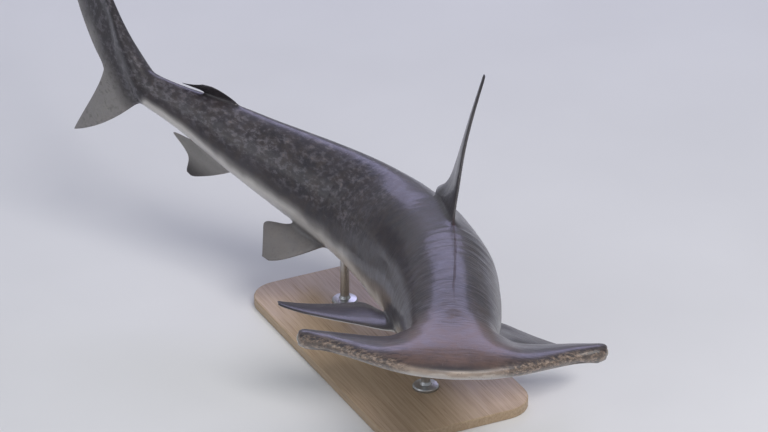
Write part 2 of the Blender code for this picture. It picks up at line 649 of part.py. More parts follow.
def main():
    for ob in list(bpy.data.objects):
        bpy.data.objects.remove(ob)
    scene = bpy.context.scene
    parts = bpy.data.collections.new("smooth_hammerhead_shark")
    cutters = bpy.data.collections.new("cutters")
    scene.collection.children.link(parts)
    scene.collection.children.link(cutters)
    mats = {name: material(name) for name in PARTS}

    # ---- the body in one piece, in its swimming curve
    cage = build(OUTLINE)
    tab = spine()
    points = [Vector(p) + ORIGIN for p in pose(cage)]

    def at(y, x=0.0, z=0.0):
        P, L, T, U = frame_at(tab, y)
        return Vector(P + L * x + U * z) + ORIGIN, Vector(L), Vector(T), Vector(U)

    def on_skin(s, i):
        v = trunk_point(pct(s), i)
        return at(v[1], v[0], v[2])[0]

    names = list(PARTS)
    order = [n for _, n in CUTS] + ["caudal_fin"]

    def region(face, tag):
        if tag in PARTS and tag != "head":
            return tag
        if tag == "head":
            return "head"
        y = 100 * sum(cage.v[a][1] for a in face) / len(face) / TL
        for s, name in CUTS:
            if y < s:
                return name
        return "caudal_fin"

    used = sorted({a for f in cage.f for a in f})
    index = {a: n for n, a in enumerate(used)}
    whole = bpy.data.meshes.new("whole")
    whole.from_pydata([points[a] for a in used], [], [[index[a] for a in f] for f in cage.f])
    for name in names:
        whole.materials.append(mats[name])
    for poly, face, tag in zip(whole.polygons, cage.f, cage.tag):
        poly.material_index = names.index(region(face, tag))
    bm = bmesh.new()
    bm.from_mesh(whole)
    bmesh.ops.triangulate(bm, faces=bm.faces[:], quad_method="SHORT_EDGE")
    bmesh.ops.recalc_face_normals(bm, faces=bm.faces[:])
    bm.to_mesh(whole)
    bm.free()
    body = new_object("whole", whole, cutters)

    # ---- thin parting cuts
    knife = bmesh.new()
    for s, name in CUTS:
        y = pct(s)
        mid = 0.5 * (trunk_point(y, 0)[2] + trunk_point(y, 16)[2])
        c, L, T, U = at(y, 0, mid)
        half = pct(HALFW(s)) + .035
        slab(knife, c, L, T, half, 0.5 * (trunk_point(y, 0)[2] - trunk_point(y, 16)[2]) + (.012 if s > 70 else .03))
    for name, (s0, s1, i, high, wide) in ROOTS.items():
        a, b = on_skin(s0, i), on_skin(s1, i)
        m0, m1 = on_skin(0.5 * (s0 + s1), i - .6), on_skin(0.5 * (s0 + s1), i + .6)
        along = (b - a).normalized()
        out = along.cross(m1 - m0).normalized()
        c = 0.5 * (m0 + m1)
        if out.dot(c - at(pct(0.5 * (s0 + s1)))[0]) < 0:
            out.negate()
        c = c + along * ((0.5 * (a + b) - c).dot(along)) + out * high
        slab(knife, c, along, out, (b - a).length / 2, wide)
    knife_mesh = bpy.data.meshes.new("parting_cuts")
    knife.to_mesh(knife_mesh)
    knife.free()
    knife_ob = new_object("parting_cuts", knife_mesh, cutters)
    cut = body.modifiers.new("parting", "BOOLEAN")
    cut.operation, cut.solver, cut.object = "DIFFERENCE", "EXACT", knife_ob
    parted = evaluated(body, "parted")

    bm = bmesh.new()
    bm.from_mesh(parted)
    left = set(bm.faces)
    pieces = []
    while left:
        seed = left.pop()
        island, stack = [seed], [seed]
        while stack:
            f = stack.pop()
            for e in f.edges:
                for g in e.link_faces:
                    if g in left:
                        left.discard(g)
                        island.append(g)
                        stack.append(g)
        pieces.append(island)
    for island in pieces:
        count = {}
        for f in island:
            count[f.material_index] = count.get(f.material_index, 0) + f.calc_area()
        name = names[max(count, key=count.get)]
        verts = list({v for f in island for v in f.verts})
        num = {v: n for n, v in enumerate(verts)}
        me = bpy.data.meshes.new(name)
        me.from_pydata([v.co[:] for v in verts], [], [[num[v] for v in f.verts] for f in island])
        me.materials.append(mats[name])
        ob = new_object(name, me, parts)
        me.shade_smooth()
        me.set_sharp_from_angle(angle=math.radians(40))
    bm.free()

    # ---- the eyes, each in its socket at a tip of the hammer
    for side, sg in (("left", 1), ("right", -1)):
        bm = bmesh.new()
        bmesh.ops.create_uvsphere(bm, u_segments=18, v_segments=10, radius=1.0)
        P, L, T, U = frame_at(tab, EYE_Y)
        turn = Matrix((Vector(L), Vector(T), Vector(U))).transposed().to_4x4()
        centre = at(EYE_Y, sg * EYE_X, WING_Z(HALF_HEAD) + .0015)[0]
        size = Matrix.Diagonal((EYE_RX, EYE_RYZ, EYE_RYZ, 1)) @ Matrix.Rotation(math.pi / 2, 4, "Y")
        bm.transform(Matrix.Translation(centre) @ turn @ size)
        bmesh.ops.recalc_face_normals(bm, faces=bm.faces[:])
        me = bpy.data.meshes.new("eye_" + side)
        bm.to_mesh(me)
        bm.free()
        me.materials.append(mats["eye_" + side])
        me.shade_smooth()
        new_object("eye_" + side, me, parts)

    # ---- the stand: a flat base and two short rods up to the belly
    turn = math.radians(90 + STAND_TURN)
    bpy.ops.mesh.primitive_cube_add(size=1.0, location=(0, 0, BASE_THICK / 2), rotation=(0, 0, turn))
    base = bpy.context.object
    base.name = base.data.name = "stand_base"
    base.data.transform(Matrix.Diagonal((BASE_LONG, BASE_WIDE, BASE_THICK, 1)))
    for c in list(base.users_collection):
        c.objects.unlink(base)
    parts.objects.link(base)
    base.data.materials.append(mats["stand_base"])
    weight = base.data.attributes.new("bevel_weight_edge", "FLOAT", "EDGE")
    for e in base.data.edges:
        a, b = (base.data.vertices[k].co for k in e.vertices)
        weight.data[e.index].value = 1.0 if abs(a.z - b.z) > .01 else 0.0
    corners = base.modifiers.new("corners", "BEVEL")
    corners.limit_method, corners.width, corners.segments = "WEIGHT", 0.09, 8
    edge = base.modifiers.new("edge", "BEVEL")
    edge.limit_method, edge.angle_limit, edge.width, edge.segments = "ANGLE", math.radians(60), 0.003, 2

    # the belly, swollen by the gap, cuts the rods' tops to its own curve
    swollen = body.data.copy()
    grown = new_object("belly_cutter", swollen, cutters)
    bm = bmesh.new()
    bm.from_mesh(swollen)
    bm.normal_update()
    for v in bm.verts:
        v.co += v.normal * (GAP * 1.3)
    bm.to_mesh(swollen)
    bm.free()
    for name, s in RODS.items():
        y = pct(s)
        belly, L, T, U = at(y, 0, trunk_point(y, 16)[2])
        # a turned rod with a foot flange, its top inside the belly
        top = belly.z + .045
        low = BASE_THICK + GAP
        profile = [(0, top), (ROD_R, top), (ROD_R, low + .020), (ROD_R + .004, low + .012), (.034, low + .009),
                   (.037, low + .006), (.037, low), (0, low)]
        me = bpy.data.meshes.new(name)
        me.from_pydata([(r, 0, z) for r, z in profile], [(k, k + 1) for k in range(len(profile) - 1)], [])
        rod = new_object(name, me, parts)
        rod.location = (belly.x, belly.y, 0)
        screw = rod.modifiers.new("turn", "SCREW")
        screw.axis, screw.steps, screw.render_steps = "Z", 28, 28
        screw.use_merge_vertices, screw.merge_threshold = True, 0.00005
        cut = rod.modifiers.new("belly", "BOOLEAN")
        cut.operation, cut.solver, cut.object = "DIFFERENCE", "EXACT", grown
        bpy.context.view_layer.update()
        shaped = evaluated(rod, name)
        drop(rod)
        bm = bmesh.new()
        bm.from_mesh(shaped)
        # keep only the length below the belly
        left, groups = set(bm.faces), []
        while left:
            seed = left.pop()
            island, stack = [seed], [seed]
            while stack:
                for e in stack.pop().edges:
                    for g in e.link_faces:
                        if g in left:
                            left.discard(g)
                            island.append(g)
                            stack.append(g)
            groups.append(island)
        keep = min(groups, key=lambda gr: min(v.co.z for f in gr for v in f.verts))
        bmesh.ops.delete(bm, geom=[f for gr in groups if gr is not keep for f in gr], context="FACES")
        bmesh.ops.delete(bm, geom=[v for v in bm.verts if not v.link_faces], context="VERTS")
        bmesh.ops.recalc_face_normals(bm, faces=bm.faces[:])
        bm.to_mesh(shaped)
        bm.free()
        shaped.materials.clear()
        shaped.materials.append(mats[name])
        shaped.shade_smooth()
        shaped.set_sharp_from_angle(angle=math.radians(35))
        rod = new_object(name, shaped, parts)

    for ob in cutters.objects:
        ob.hide_render = True
        ob.display_type = "WIRE"
    drop(body)


main()
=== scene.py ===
"""The looks of the smooth hammerhead shark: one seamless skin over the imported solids,
eyes, teeth, the stand's finish, a pale floor, soft studio light and the camera.

The skin is drawn straight first, nose at the origin, and then carried along the same
bent and twisted spine as the solids. Colours are painted by where a point lies on the
straight body: back, flank, belly, fin, lip, gill slit.
"""
import math

import bmesh
import bpy
import numpy as np
from mathutils import Matrix, Vector


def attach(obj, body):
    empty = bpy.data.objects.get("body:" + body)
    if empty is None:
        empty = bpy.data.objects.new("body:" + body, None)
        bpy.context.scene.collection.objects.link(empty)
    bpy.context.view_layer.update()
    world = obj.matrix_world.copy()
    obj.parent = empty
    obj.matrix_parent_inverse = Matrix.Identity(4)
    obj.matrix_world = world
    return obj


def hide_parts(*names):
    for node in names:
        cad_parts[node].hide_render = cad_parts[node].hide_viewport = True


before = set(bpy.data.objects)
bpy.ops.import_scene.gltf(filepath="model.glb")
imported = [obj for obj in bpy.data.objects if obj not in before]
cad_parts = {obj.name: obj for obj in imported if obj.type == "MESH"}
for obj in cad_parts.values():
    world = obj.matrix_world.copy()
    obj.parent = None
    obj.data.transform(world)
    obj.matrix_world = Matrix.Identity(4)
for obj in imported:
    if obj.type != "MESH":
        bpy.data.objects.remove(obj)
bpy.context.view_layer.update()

# ---------------------------------------------------------------- sizes, metres
TL = 2.90                  # stretched total length
HALF_HEAD = 0.4125         # half the width across the hammer
RING = 32                  # points round each trunk section
SIDE_CELLS = 6             # cells round the side where the hammer meets the neck

EYE_Y = 0.193              # eye centre behind the snout tip


def pct(v):
    return v * TL / 100.0


def smooth(t):
    t = min(1.0, max(0.0, t))
    return t * t * (3 - 2 * t)


def curve(xs, ys):
    """Monotone cubic through the profile stations xs -> ys."""
    xs, ys = np.asarray(xs, float), np.asarray(ys, float)
    h = np.diff(xs)
    d = np.diff(ys) / h
    m = np.zeros_like(ys)
    for k in range(1, len(xs) - 1):
        if d[k - 1] * d[k] > 0:
            w1, w2 = 2 * h[k] + h[k - 1], h[k] + 2 * h[k - 1]
            m[k] = (w1 + w2) / (w1 / d[k - 1] + w2 / d[k])
    m[0], m[-1] = d[0], d[-1]

    def f(x):
        x = min(max(x, xs[0]), xs[-1])
        k = int(min(max(np.searchsorted(xs, x) - 1, 0), len(xs) - 2))
        t = (x - xs[k]) / h[k]
        a, b = ys[k], ys[k + 1]
        return float(
            a * (2 * t**3 - 3 * t**2 + 1)
            + b * (3 * t**2 - 2 * t**3)
            + h[k] * (m[k] * (t**3 - 2 * t**2 + t) + m[k + 1] * (t**3 - t**2))
        )

    return f


# trunk profile, all in % of total length
ST = [8, 11, 14, 17, 21, 27, 35, 45, 55, 63, 69, 72]
TOPZ = curve(ST, [2.50, 3.30, 4.05, 4.75, 5.45, 6.15, 6.15, 5.35, 4.15, 3.10, 2.15, 1.85])
BOTZ = curve(ST, [-2.05, -2.85, -3.5, -4.1, -4.85, -5.55, -5.75, -5.05, -3.75, -2.5, -1.65, -1.45])
HALFW = curve(ST, [4.35, 4.45, 4.60, 4.85, 5.20, 5.50, 5.45, 4.75, 3.60, 2.50, 1.55, 1.25])


def trunk_point(y, i):
    """Point i of the ring round the trunk at the distance y behind the snout."""
    s = y / TL * 100
    top, bot, hw = pct(TOPZ(s)), pct(BOTZ(s)), pct(HALFW(s))
    zc = 0.5 * (top + bot) - 0.03 * (top - bot)
    th = 2 * math.pi * i / RING
    sn, cs = math.sin(th), math.cos(th)
    n = 2.0 if cs > 0 else 2.25
    r = (abs(sn) ** n + abs(cs) ** n) ** (-1.0 / n)
    x = hw * sn * r
    z = zc + ((top - zc) if cs > 0 else (zc - bot)) * cs * r
    if cs > 0:
        z += 0.006 * hw / 0.15 * cs ** 14
    return np.array([x, y, z])


# ---------------------------------------------------------------- the hammer
LE_Y = curve([0, .05, .10, .15, .20, .25, .295, .320, .335, .355, .375, .395, .4125],
             [0, .0032, .0135, .0325, .0575, .0860, .1130, .1290, .1365, .1425, .1480, .1560, .1720])
TE_Y = curve([.118, .136, .150, .170, .200, .250, .300, .350, .385, .400, .4125],
             [.298, .279, .266, .256, .249, .2445, .242, .240, .235, .226, .210])
WING_T = curve([0, .10, .16, .22, .30, .35, .385, .4125], [.060, .060, .056, .050, .045, .045, .050, .052])
WING_Z = curve([0, .10, .17, .225, .285, .35, .4125], [0, .002, .006, .010, .016, .020, .022])
MID_TOP = curve([0, .006, .02, .06, .12, .18, .245], [0, .0115, .0205, .0360, .0520, .0640, .0760])
MID_BOT = curve([0, .006, .02, .06, .12, .20, .27, .345], [0, -.0105, -.0175, -.0285, -.0400, -.0530, -.0650, -.0840])
MOUTH_HALF = 0.100         # half the width between the corners of the mouth
MOUTH_Y = 0.186            # front of the mouth behind the snout tip


def mouth_y(x):
    return MOUTH_Y + 0.093 * (abs(x) / MOUTH_HALF) ** 2.1


def wing_profile(q):
    if q < 0.4:
        return math.sqrt(max(0.0, 1 - (1 - q / 0.4) ** 2.4))
    return 1 - 0.52 * ((q - 0.4) / 0.6) ** 1.6


def head_z(x, y, up):
    """Height of the hammer's upper (up=1) or lower (up=-1) face."""
    ax = abs(x)
    le, te = LE_Y(ax), TE_Y(max(ax, .165))
    q = (y - le) / (te - le)
    t = WING_T(ax) * (0.54 if up > 0 else 0.46)
    z = WING_Z(ax) + up * t * wing_profile(min(1, max(0, q)))
    mid = MID_TOP(y) if up > 0 else MID_BOT(y)
    q0 = y / .243
    z0 = WING_Z(0) + up * WING_T(0) * (0.54 if up > 0 else 0.46) * wing_profile(min(1, max(0, q0)))
    wide = 0.172 + 0.10 * smooth(1 - y / .22)
    r = min(1.0, ax / wide)
    return z + (mid - z0) * (1 - r ** 3) ** 2


# rings that close each tip of the hammer: x, scale or radius, how round (1 = a true circle of that radius)
TIP_RINGS = [(.3905, .965, .10), (.3970, .880, .35), (.4030, .760, .75), (.4074, .0226, 1), (.4099, .0190, 1),
             (.4102, .0167, 1), (.4080, .0150, 1), (.4010, .0202, 1), (.3900, .0182, 1), (.3828, .0098, 1)]
# the same for the skin: x, half height, how round, half length; a fold and a lid lie round the eye
SKIN_TIPS = [(.3900, .0246, .25, .0405), (.3965, .0238, .65, .0375), (.4015, .0224, 1, .0328), (.4055, .0206, 1, .0275), (.4083, .0188, 1, .0222),
             (.4097, .0170, 1, .0186), (.4092, .0160, 1, .0168), (.4104, .0152, 1, .0155), (.4097, .0144, 1, .0144), (.4080, .0147, 1, .0147),
             (.4020, .0195, 1, .0195), (.3860, .0135, 1, .0135)]
EYE_X, EYE_RX, EYE_RYZ = .3990, .0145, .0180


def blade(f):
    """Thickness of a fin along its chord, 0 at both edges and 1 at its fullest."""
    return math.sqrt(f) * (1 - f) ** 1.1 * 1.95 if 0 < f < 1 else 0.0


class Cage:
    def __init__(self):
        self.v, self.f, self.rig, self.tag = [], [], [], []
        self.out, self.low, self.groove = {}, {}, {}     # fin reach, fin underside, how deep in a slit

    def add(self, p, rig=None):
        self.v.append(np.array(p, float))
        self.rig.append(rig)
        return len(self.v) - 1

    def face(self, *ids, tag="body"):
        out = []
        for a in ids:
            if a not in out:
                out.append(a)
        if len(out) > 2:
            self.f.append(tuple(out))
            self.tag.append(tag)


def build(det):
    """The whole skin as one closed cage of quads, straight, nose at the origin.

    X runs to the animal's left, Y back along the body, Z up.
    """
    c = Cage()
    xs = [trunk_point(.262, i)[0] for i in range(6)] + det["wing"]
    ns = len(xs) - 1
    top, low, fine = det["top"], det["low"], det["creases"]
    nt, nb = len(top) - 1, len(low)
    m = nt + SIDE_CELLS + nb
    side_y = [.245, .261, .272, .281, .290, .301, .318]
    rear_low = [.340, .3390, .3365, .3325, .3265, .318]

    def low_y(x, k):
        kind, mid, out = low[k]
        ax = abs(x)
        le, te = LE_Y(ax), TE_Y(max(ax, .136))
        if kind == "near":
            return le + mid
        outer = le + out * (te - le)
        if ax >= .16:
            return outer
        xx = min(ax, .107)
        lip = mouth_y(xx)
        rear = rear_low[0] - .022 * (xx / .107) ** 2
        if kind == "rear":
            y = rear + (lip + .017 - rear) * mid
        elif kind == "lip":
            y = lip + mid * (1 - .45 * smooth((xx - .055) / .05) * (abs(mid) < .01))
        else:
            y = le + (lip - .017 - le) * mid
        w = smooth((ax - .107) / (.16 - .107))
        return y * (1 - w) + outer * w

    W = {}
    for s in range(-ns, ns + 1):
        ax, sg = xs[abs(s)], (1 if s >= 0 else -1)
        le, te = LE_Y(ax), TE_Y(max(ax, .13))
        inside = abs(s) <= 5
        for j in range(m):
            if inside and nt < j < nt + SIDE_CELLS and abs(s) < 5:
                continue
            if j == 0:
                p = (sg * ax, le, WING_Z(ax))
            elif j <= nt:
                end = (side_y[0]) if inside else le + .94 * (te - le)
                y = le + top[j] * (end - le)
                p = (sg * ax, y, head_z(ax, y, 1))
            elif j < nt + SIDE_CELLS:
                k = j - nt
                if inside:
                    i = 5 + k
                    q = trunk_point(side_y[k], i)
                    p = (sg * q[0], side_y[k], q[2])
                else:
                    a = math.pi * k / SIDE_CELLS
                    zt = head_z(ax, le + .94 * (te - le), 1)
                    zb = head_z(ax, le + .94 * (te - le), -1)
                    yy = le + .94 * (te - le) + .06 * (te - le) * math.sin(a)
                    p = (sg * ax, yy, (zt + zb) / 2 + (zt - zb) / 2 * math.cos(a))
            else:
                k = j - nt - SIDE_CELLS
                y = low_y(ax, k)
                z = head_z(ax, y, -1)
                if fine and ax < .118:
                    fade = 1 - smooth((ax - .080) / .026)
                    lift = {4: -.0026, 5: .0075, 6: .0190, 7: .0075, 8: -.0026}.get(k, 0)
                    z += lift * fade
                p = (sg * ax, y, z)
            W[s, j] = c.add(p)
            if j >= nt + SIDE_CELLS and ax < .118 and low[j - nt - SIDE_CELLS][:2] in (("lip", 0), ("lip", .0056), ("lip", -.0056)):
                c.groove[W[s, j]] = (1.0 if low[j - nt - SIDE_CELLS][1] == 0 else .35) * (1 - smooth((ax - .085) / .02))
    # nostril and the groove that runs inwards from it along the front edge
    if fine:
        jg = nt + SIDE_CELLS + nb - 2
        for s in range(-ns, ns + 1):
            ax = xs[abs(s)]
            deep = .0028 * smooth((ax - .20) / .05) * (1 - smooth((ax - .352) / .012)) + .0065 * math.exp(-((ax - .331) / .011) ** 2)
            v = c.v[W[s, jg]]
            v[2] += deep * .8
            v[1] += deep * .6
            c.groove[W[s, jg]] = min(1.0, deep / .0045)
    for s in range(-ns, ns):
        for j in range(m):
            if -5 <= s < 5 and nt <= j < nt + SIDE_CELLS:
                continue
            c.face(W[s, j], W[s + 1, j], W[s + 1, (j + 1) % m], W[s, (j + 1) % m], tag="head")
    # the tips: each closes round an eye into a shallow socket
    half = nt + SIDE_CELLS // 2
    for sg in (1, -1):
        prev = [W[sg * ns, j] for j in range(m)]
        ez = WING_Z(HALF_HEAD) + .0015
        for x, r, turn, *length in det["tips"]:
            ids = []
            for j in range(m):
                a = math.pi * j / half if j <= half else math.pi + math.pi * (j - half) / (m - half)
                w = c.v[W[sg * ns, j]]
                if length:
                    k = length[0] / .0415
                    flat = np.array([sg * x, EYE_Y + (w[1] - EYE_Y) * k, ez + (w[2] - ez) * k])
                    ring = np.array([sg * x, EYE_Y - length[0] * math.cos(a), ez + r * math.sin(a)])
                    ids.append(c.add(ring * turn + flat * (1 - turn)))
                    continue
                if r < 1 and turn < 1:
                    flat = np.array([sg * x, EYE_Y + (w[1] - EYE_Y) * r, ez + (w[2] - ez) * r])
                    ring = np.array([sg * x, EYE_Y - .036 * r * math.cos(a), ez + .036 * r * math.sin(a)])
                    p = ring * turn + flat * (1 - turn)
                else:
                    p = np.array([sg * x, EYE_Y - r * math.cos(a), ez + r * math.sin(a)])
                ids.append(c.add(p))
            for j in range(m):
                a, b = j, (j + 1) % m
                if sg > 0:
                    c.face(prev[a], ids[a], ids[b], prev[b], tag="head")
                else:
                    c.face(ids[a], prev[a], prev[b], ids[b], tag="head")
            prev = ids
        end = c.add([sg * (det["tips"][-1][0] - .0007), EYE_Y, ez])
        for j in range(m):
            a, b = prev[j], prev[(j + 1) % m]
            if sg > 0:
                c.face(a, end, b, tag="head")
            else:
                c.face(end, a, b, tag="head")

    # ------------------------------------------------------------ the trunk
    ring0 = []
    for i in range(RING):
        if i <= 5:
            ring0.append(W[i, nt])
        elif i < 11:
            ring0.append(W[5, nt + i - 5])
        elif i <= 21:
            ring0.append(W[16 - i, nt + SIDE_CELLS])
        elif i < 27:
            ring0.append(W[-5, nt + 27 - i])
        else:
            ring0.append(W[i - 32, nt])
    rows = [ring0]
    stations = []          # (position in % TL, groove depth weight, slant top, slant bottom)
    for a, b in det["neck"]:
        stations.append(("neck", a, b))
    for n, s in enumerate(GILLS):
        for off, lift in det["gill"]:
            stations.append(("gill", s + off, lift * (1, 1, 1, .95, .8)[n]))
    marks = {}

    def run(name, values):
        if name:
            marks[name] = len(stations) + 1
        for v in values:
            stations.append(("plain", v, 0))
        if name:
            marks[name + "_end"] = len(stations)

    for name, values in det["runs"]:
        run(name, values)
    marks["second"] = marks["anal"] + det["second"][0]
    marks["second_end"] = marks["anal_end"] + det["second"][1]
    for st in stations:
        row = []
        for i in range(RING):
            th = 2 * math.pi * i / RING
            if st[0] == "neck":
                y = st[1] + (st[2] - st[1]) * (1 - math.cos(th)) / 2
                p = trunk_point(y, i)
            else:
                y = pct(st[1])
                k = i if i <= 16 else 32 - i
                if st[0] == "gill":
                    y += .0035 * (8.5 - min(11, max(6, k)))
                p = trunk_point(y, i)
                if st[0] == "gill" and st[2]:
                    w = {7: .45, 8: 1, 9: 1, 10: .55}.get(k, 0)
                    if st[1] > 20:
                        w = {7: .6, 8: 1, 9: .75, 10: .15}.get(k, 0)
                    n = np.array([math.sin(th), 0, math.cos(th)])
                    p = p + n * st[2] * w
                if 71.0 < st[1] < 72 and k == 0:
                    p = p - np.array([0, 0, .004])
            row.append(c.add(p))
            if st[0] == "gill" and st[2] < -.005:
                c.groove[row[-1]] = w
        rows.append(row)
    cut = set()

    def hole(name, mid, half, flare=.003):
        """Opens the grid for a fin and narrows the opening to the outline of the fin's root."""
        a, b = marks[name], marks[name + "_end"]
        y0, y1 = c.v[rows[a][mid % RING]][1], c.v[rows[b][mid % RING]][1]
        for k in range(a, b + 1):
            if k < b:
                cut.add((k, (mid - 1) % RING))
                cut.add((k, mid % RING))
            y = c.v[rows[k][mid % RING]][1]
            q = (y - y0) / (y1 - y0)
            wide = half * blade(q) + .0050 + .0045 * math.sin(math.pi * q) + flare * smooth(q / .55) * (1 - smooth((q - .84) / .16))
            for e in (-1, 1):
                arc_len = np.linalg.norm(trunk_point(y, mid) - trunk_point(y, mid + e))
                c.v[rows[k][(mid + e) % RING]] = trunk_point(y, mid + e * min(1.0, wide / arc_len))
        up, dn = [rows[k][(mid - 1) % RING] for k in range(a, b + 1)], [rows[k][(mid + 1) % RING] for k in range(a, b + 1)]
        return rows[a][mid % RING], up, rows[b][mid % RING], dn

    holes = {
        "dorsal_fin_first": hole("dorsal", 0, .0150, .012),
        "pectoral_fin_left": hole("pectoral", 11, .0165),
        "pectoral_fin_right": hole("pectoral", 21, .0165),
        "pelvic_fin_left": hole("pelvic", 14, .010),
        "pelvic_fin_right": hole("pelvic", 18, .010),
        "anal_fin": hole("anal", 16, .008),
        "dorsal_fin_second": hole("second", 0, .0075),
    }
    # ------------------------------------------------------------ tail fin, rings that grow into a blade
    D0, D1 = np.array([72.0, 1.86]), np.array([98.1, 13.6])
    tail_dir = (D1 - D0) / np.linalg.norm(D1 - D0)
    tail_nrm = np.array([-tail_dir[1], tail_dir[0]])

    def dorsal(t):
        bow = 0.55 * math.sin(math.pi * t) - 0.55 * math.sin(2 * math.pi * t) * .5
        return D0 + (D1 - D0) * t + tail_nrm * bow * .6

    lobe_tip = np.array([79.2, -9.1])
    fork = np.array([77.5, -.95])
    notch = np.array([93.7, 7.72])
    corner = np.array([96.4, 7.80])
    start = np.array([72.0, -1.46])

    def arc(p, q, t, bow):
        d = q - p
        n = np.array([-d[1], d[0]]) / np.linalg.norm(d)
        return p + d * t + n * bow * 4 * t * (1 - t)

    def ventral(t):
        """0..1 down the front of the lower lobe, 1..2 to the fork, 2..3 to the notch, 3..4 to the corner, 4..5 to the tip"""
        if t <= 1:
            return arc(start, lobe_tip, t, -.75)
        if t <= 2:
            return arc(lobe_tip, fork, t - 1, .80)
        if t <= 3:
            return arc(fork, notch, t - 2, -1.15)
        if t <= 4:
            return arc(notch, corner, t - 3, .15)
        return arc(corner, D1, t - 4, .45)

    for tD, tV in det["tail"]:
        Dp, Vp = dorsal(tD), ventral(tV)
        length = pct(np.linalg.norm(Vp - Dp))
        core = pct(3.35 + (.9 - 3.35) * min(1, tD / .62) ** .8) if tD < .62 else pct(.9 - .6 * (tD - .62) / .38)
        corew = pct(1.22 * (1 - smooth(tD / .34)) ** 1.0 * .72 + .30 * (1 - min(1, tD)) + .045)
        web = .0052 - .0028 * smooth(tD / .8)
        row = []
        sharp = smooth(tD / .12)
        for i in range(RING):
            k = i if i <= 16 else 32 - i
            sg = 1 if i <= 16 else -1
            u = (1 - math.cos(math.pi * k / 16)) / 2
            # near the stalk the ring stays round the flesh, further on it spreads over the blade
            P = Dp + (Vp - Dp) * u
            d = u * length
            q = d / core
            th = 0.0
            if 0 < q < 1:
                th = corew * math.sqrt(q) * 2.0 * (1 - q) ** (.5 + .8 * sharp) * (1 + .25 * sharp)
            edge = (1 - abs(2 * u - 1) ** 6) ** .5
            thin = web * edge * (1 - .45 * smooth((d - core) / .16))
            th = max(th, 0) + thin * (1 if k not in (0, 16) else 0)
            if k in (0, 16):
                th = 0
            row.append(c.add([sg * th, pct(P[0]), pct(P[1])]))
        rows.append(row)
    for k in range(len(rows) - 1):
        for i in range(RING):
            if (k, i) in cut:
                continue
            tag = "trunk" if k < len(stations) else "caudal"
            c.face(rows[k][i], rows[k][(i + 1) % RING], rows[k + 1][(i + 1) % RING], rows[k + 1][i], tag=tag)
    last = rows[-1]
    for i in range(0, 16):
        c.face(last[i], last[i + 1], last[(32 - i - 1) % 32], last[(32 - i) % 32], tag="caudal")

    # ------------------------------------------------------------ the other fins
    def fin(name, sections, half_root, half_tip, place, anchor, tag, lean=0.0, twist=0.0, curl=2.3):
        """sections: (front y, front reach, rear y, rear reach) in % TL; place(y, reach, off) gives the point; twist in degrees."""
        le, up, te, dn = holes[name]
        n = len(up)
        ys = np.array([c.v[a][1] for a in up])
        q = (ys - ys[0]) / (ys[-1] - ys[0])
        q = .022 + q * (.972 - .022)
        prev = [le] + up + [te] + dn[::-1]
        reach, rear = max(s[1] for s in sections), 100 * ys[-1] / TL
        for a in prev:
            if c.rig[a] is None:
                c.rig[a] = (anchor, 0.0)
        for si, (y0, h0, y1, h1) in enumerate(sections):
            span = h0 / reach
            t = half_root + (half_tip - half_root) * span ** .75
            if si == 0:
                t *= 1.06
            ids = []

            def point(f, side):
                y, h = y0 + (y1 - y0) * f, h0 + (h1 - h0) * f
                off = side * (t * blade(f) + .0016) + math.radians(twist) * smooth((h0 - .6) / 3.4) * pct(y - y0)
                w = max(smooth((h / reach - .03) / .42), smooth((y - rear) / 1.8))
                n = c.add(place(pct(y), pct(h), off + lean * span ** curl), rig=(anchor, w))
                c.out[n], c.low[n] = h / reach, -side
                return n

            ids.append(point(0, 0))
            ids += [point(f, 1) for f in q]
            ids.append(point(1, 0))
            ids += [point(f, -1) for f in q[::-1]]
            L = len(ids)
            for a in range(L):
                b = (a + 1) % L
                c.face(prev[a], prev[b], ids[b], ids[a], tag=tag)
            prev = ids
        # close the outer edge
        ups, dns = prev[1:n + 1], prev[n + 2:][::-1]
        c.face(prev[0], ups[0], dns[0], tag=tag)
        for a in range(n - 1):
            c.face(ups[a], ups[a + 1], dns[a + 1], dns[a], tag=tag)
        c.face(ups[-1], prev[n + 1], dns[-1], tag=tag)

    def upright(sign):
        def place(y, h, off):
            base = trunk_point(min(y, pct(71.5)), 0 if sign > 0 else 16)[2]
            return [off * (-1 if sign > 0 else 1), y, base + sign * h]
        return place

    def sideways(i, droop, sgn, y_mid):
        g = math.radians(droop)
        b = trunk_point(pct(y_mid), i)

        def place(y, h, off):
            off = off * sgn
            return [sgn * (b[0] + h * math.cos(g) + off * math.sin(g)), y, b[2] - h * math.sin(g) + off * math.cos(g)]
        return place

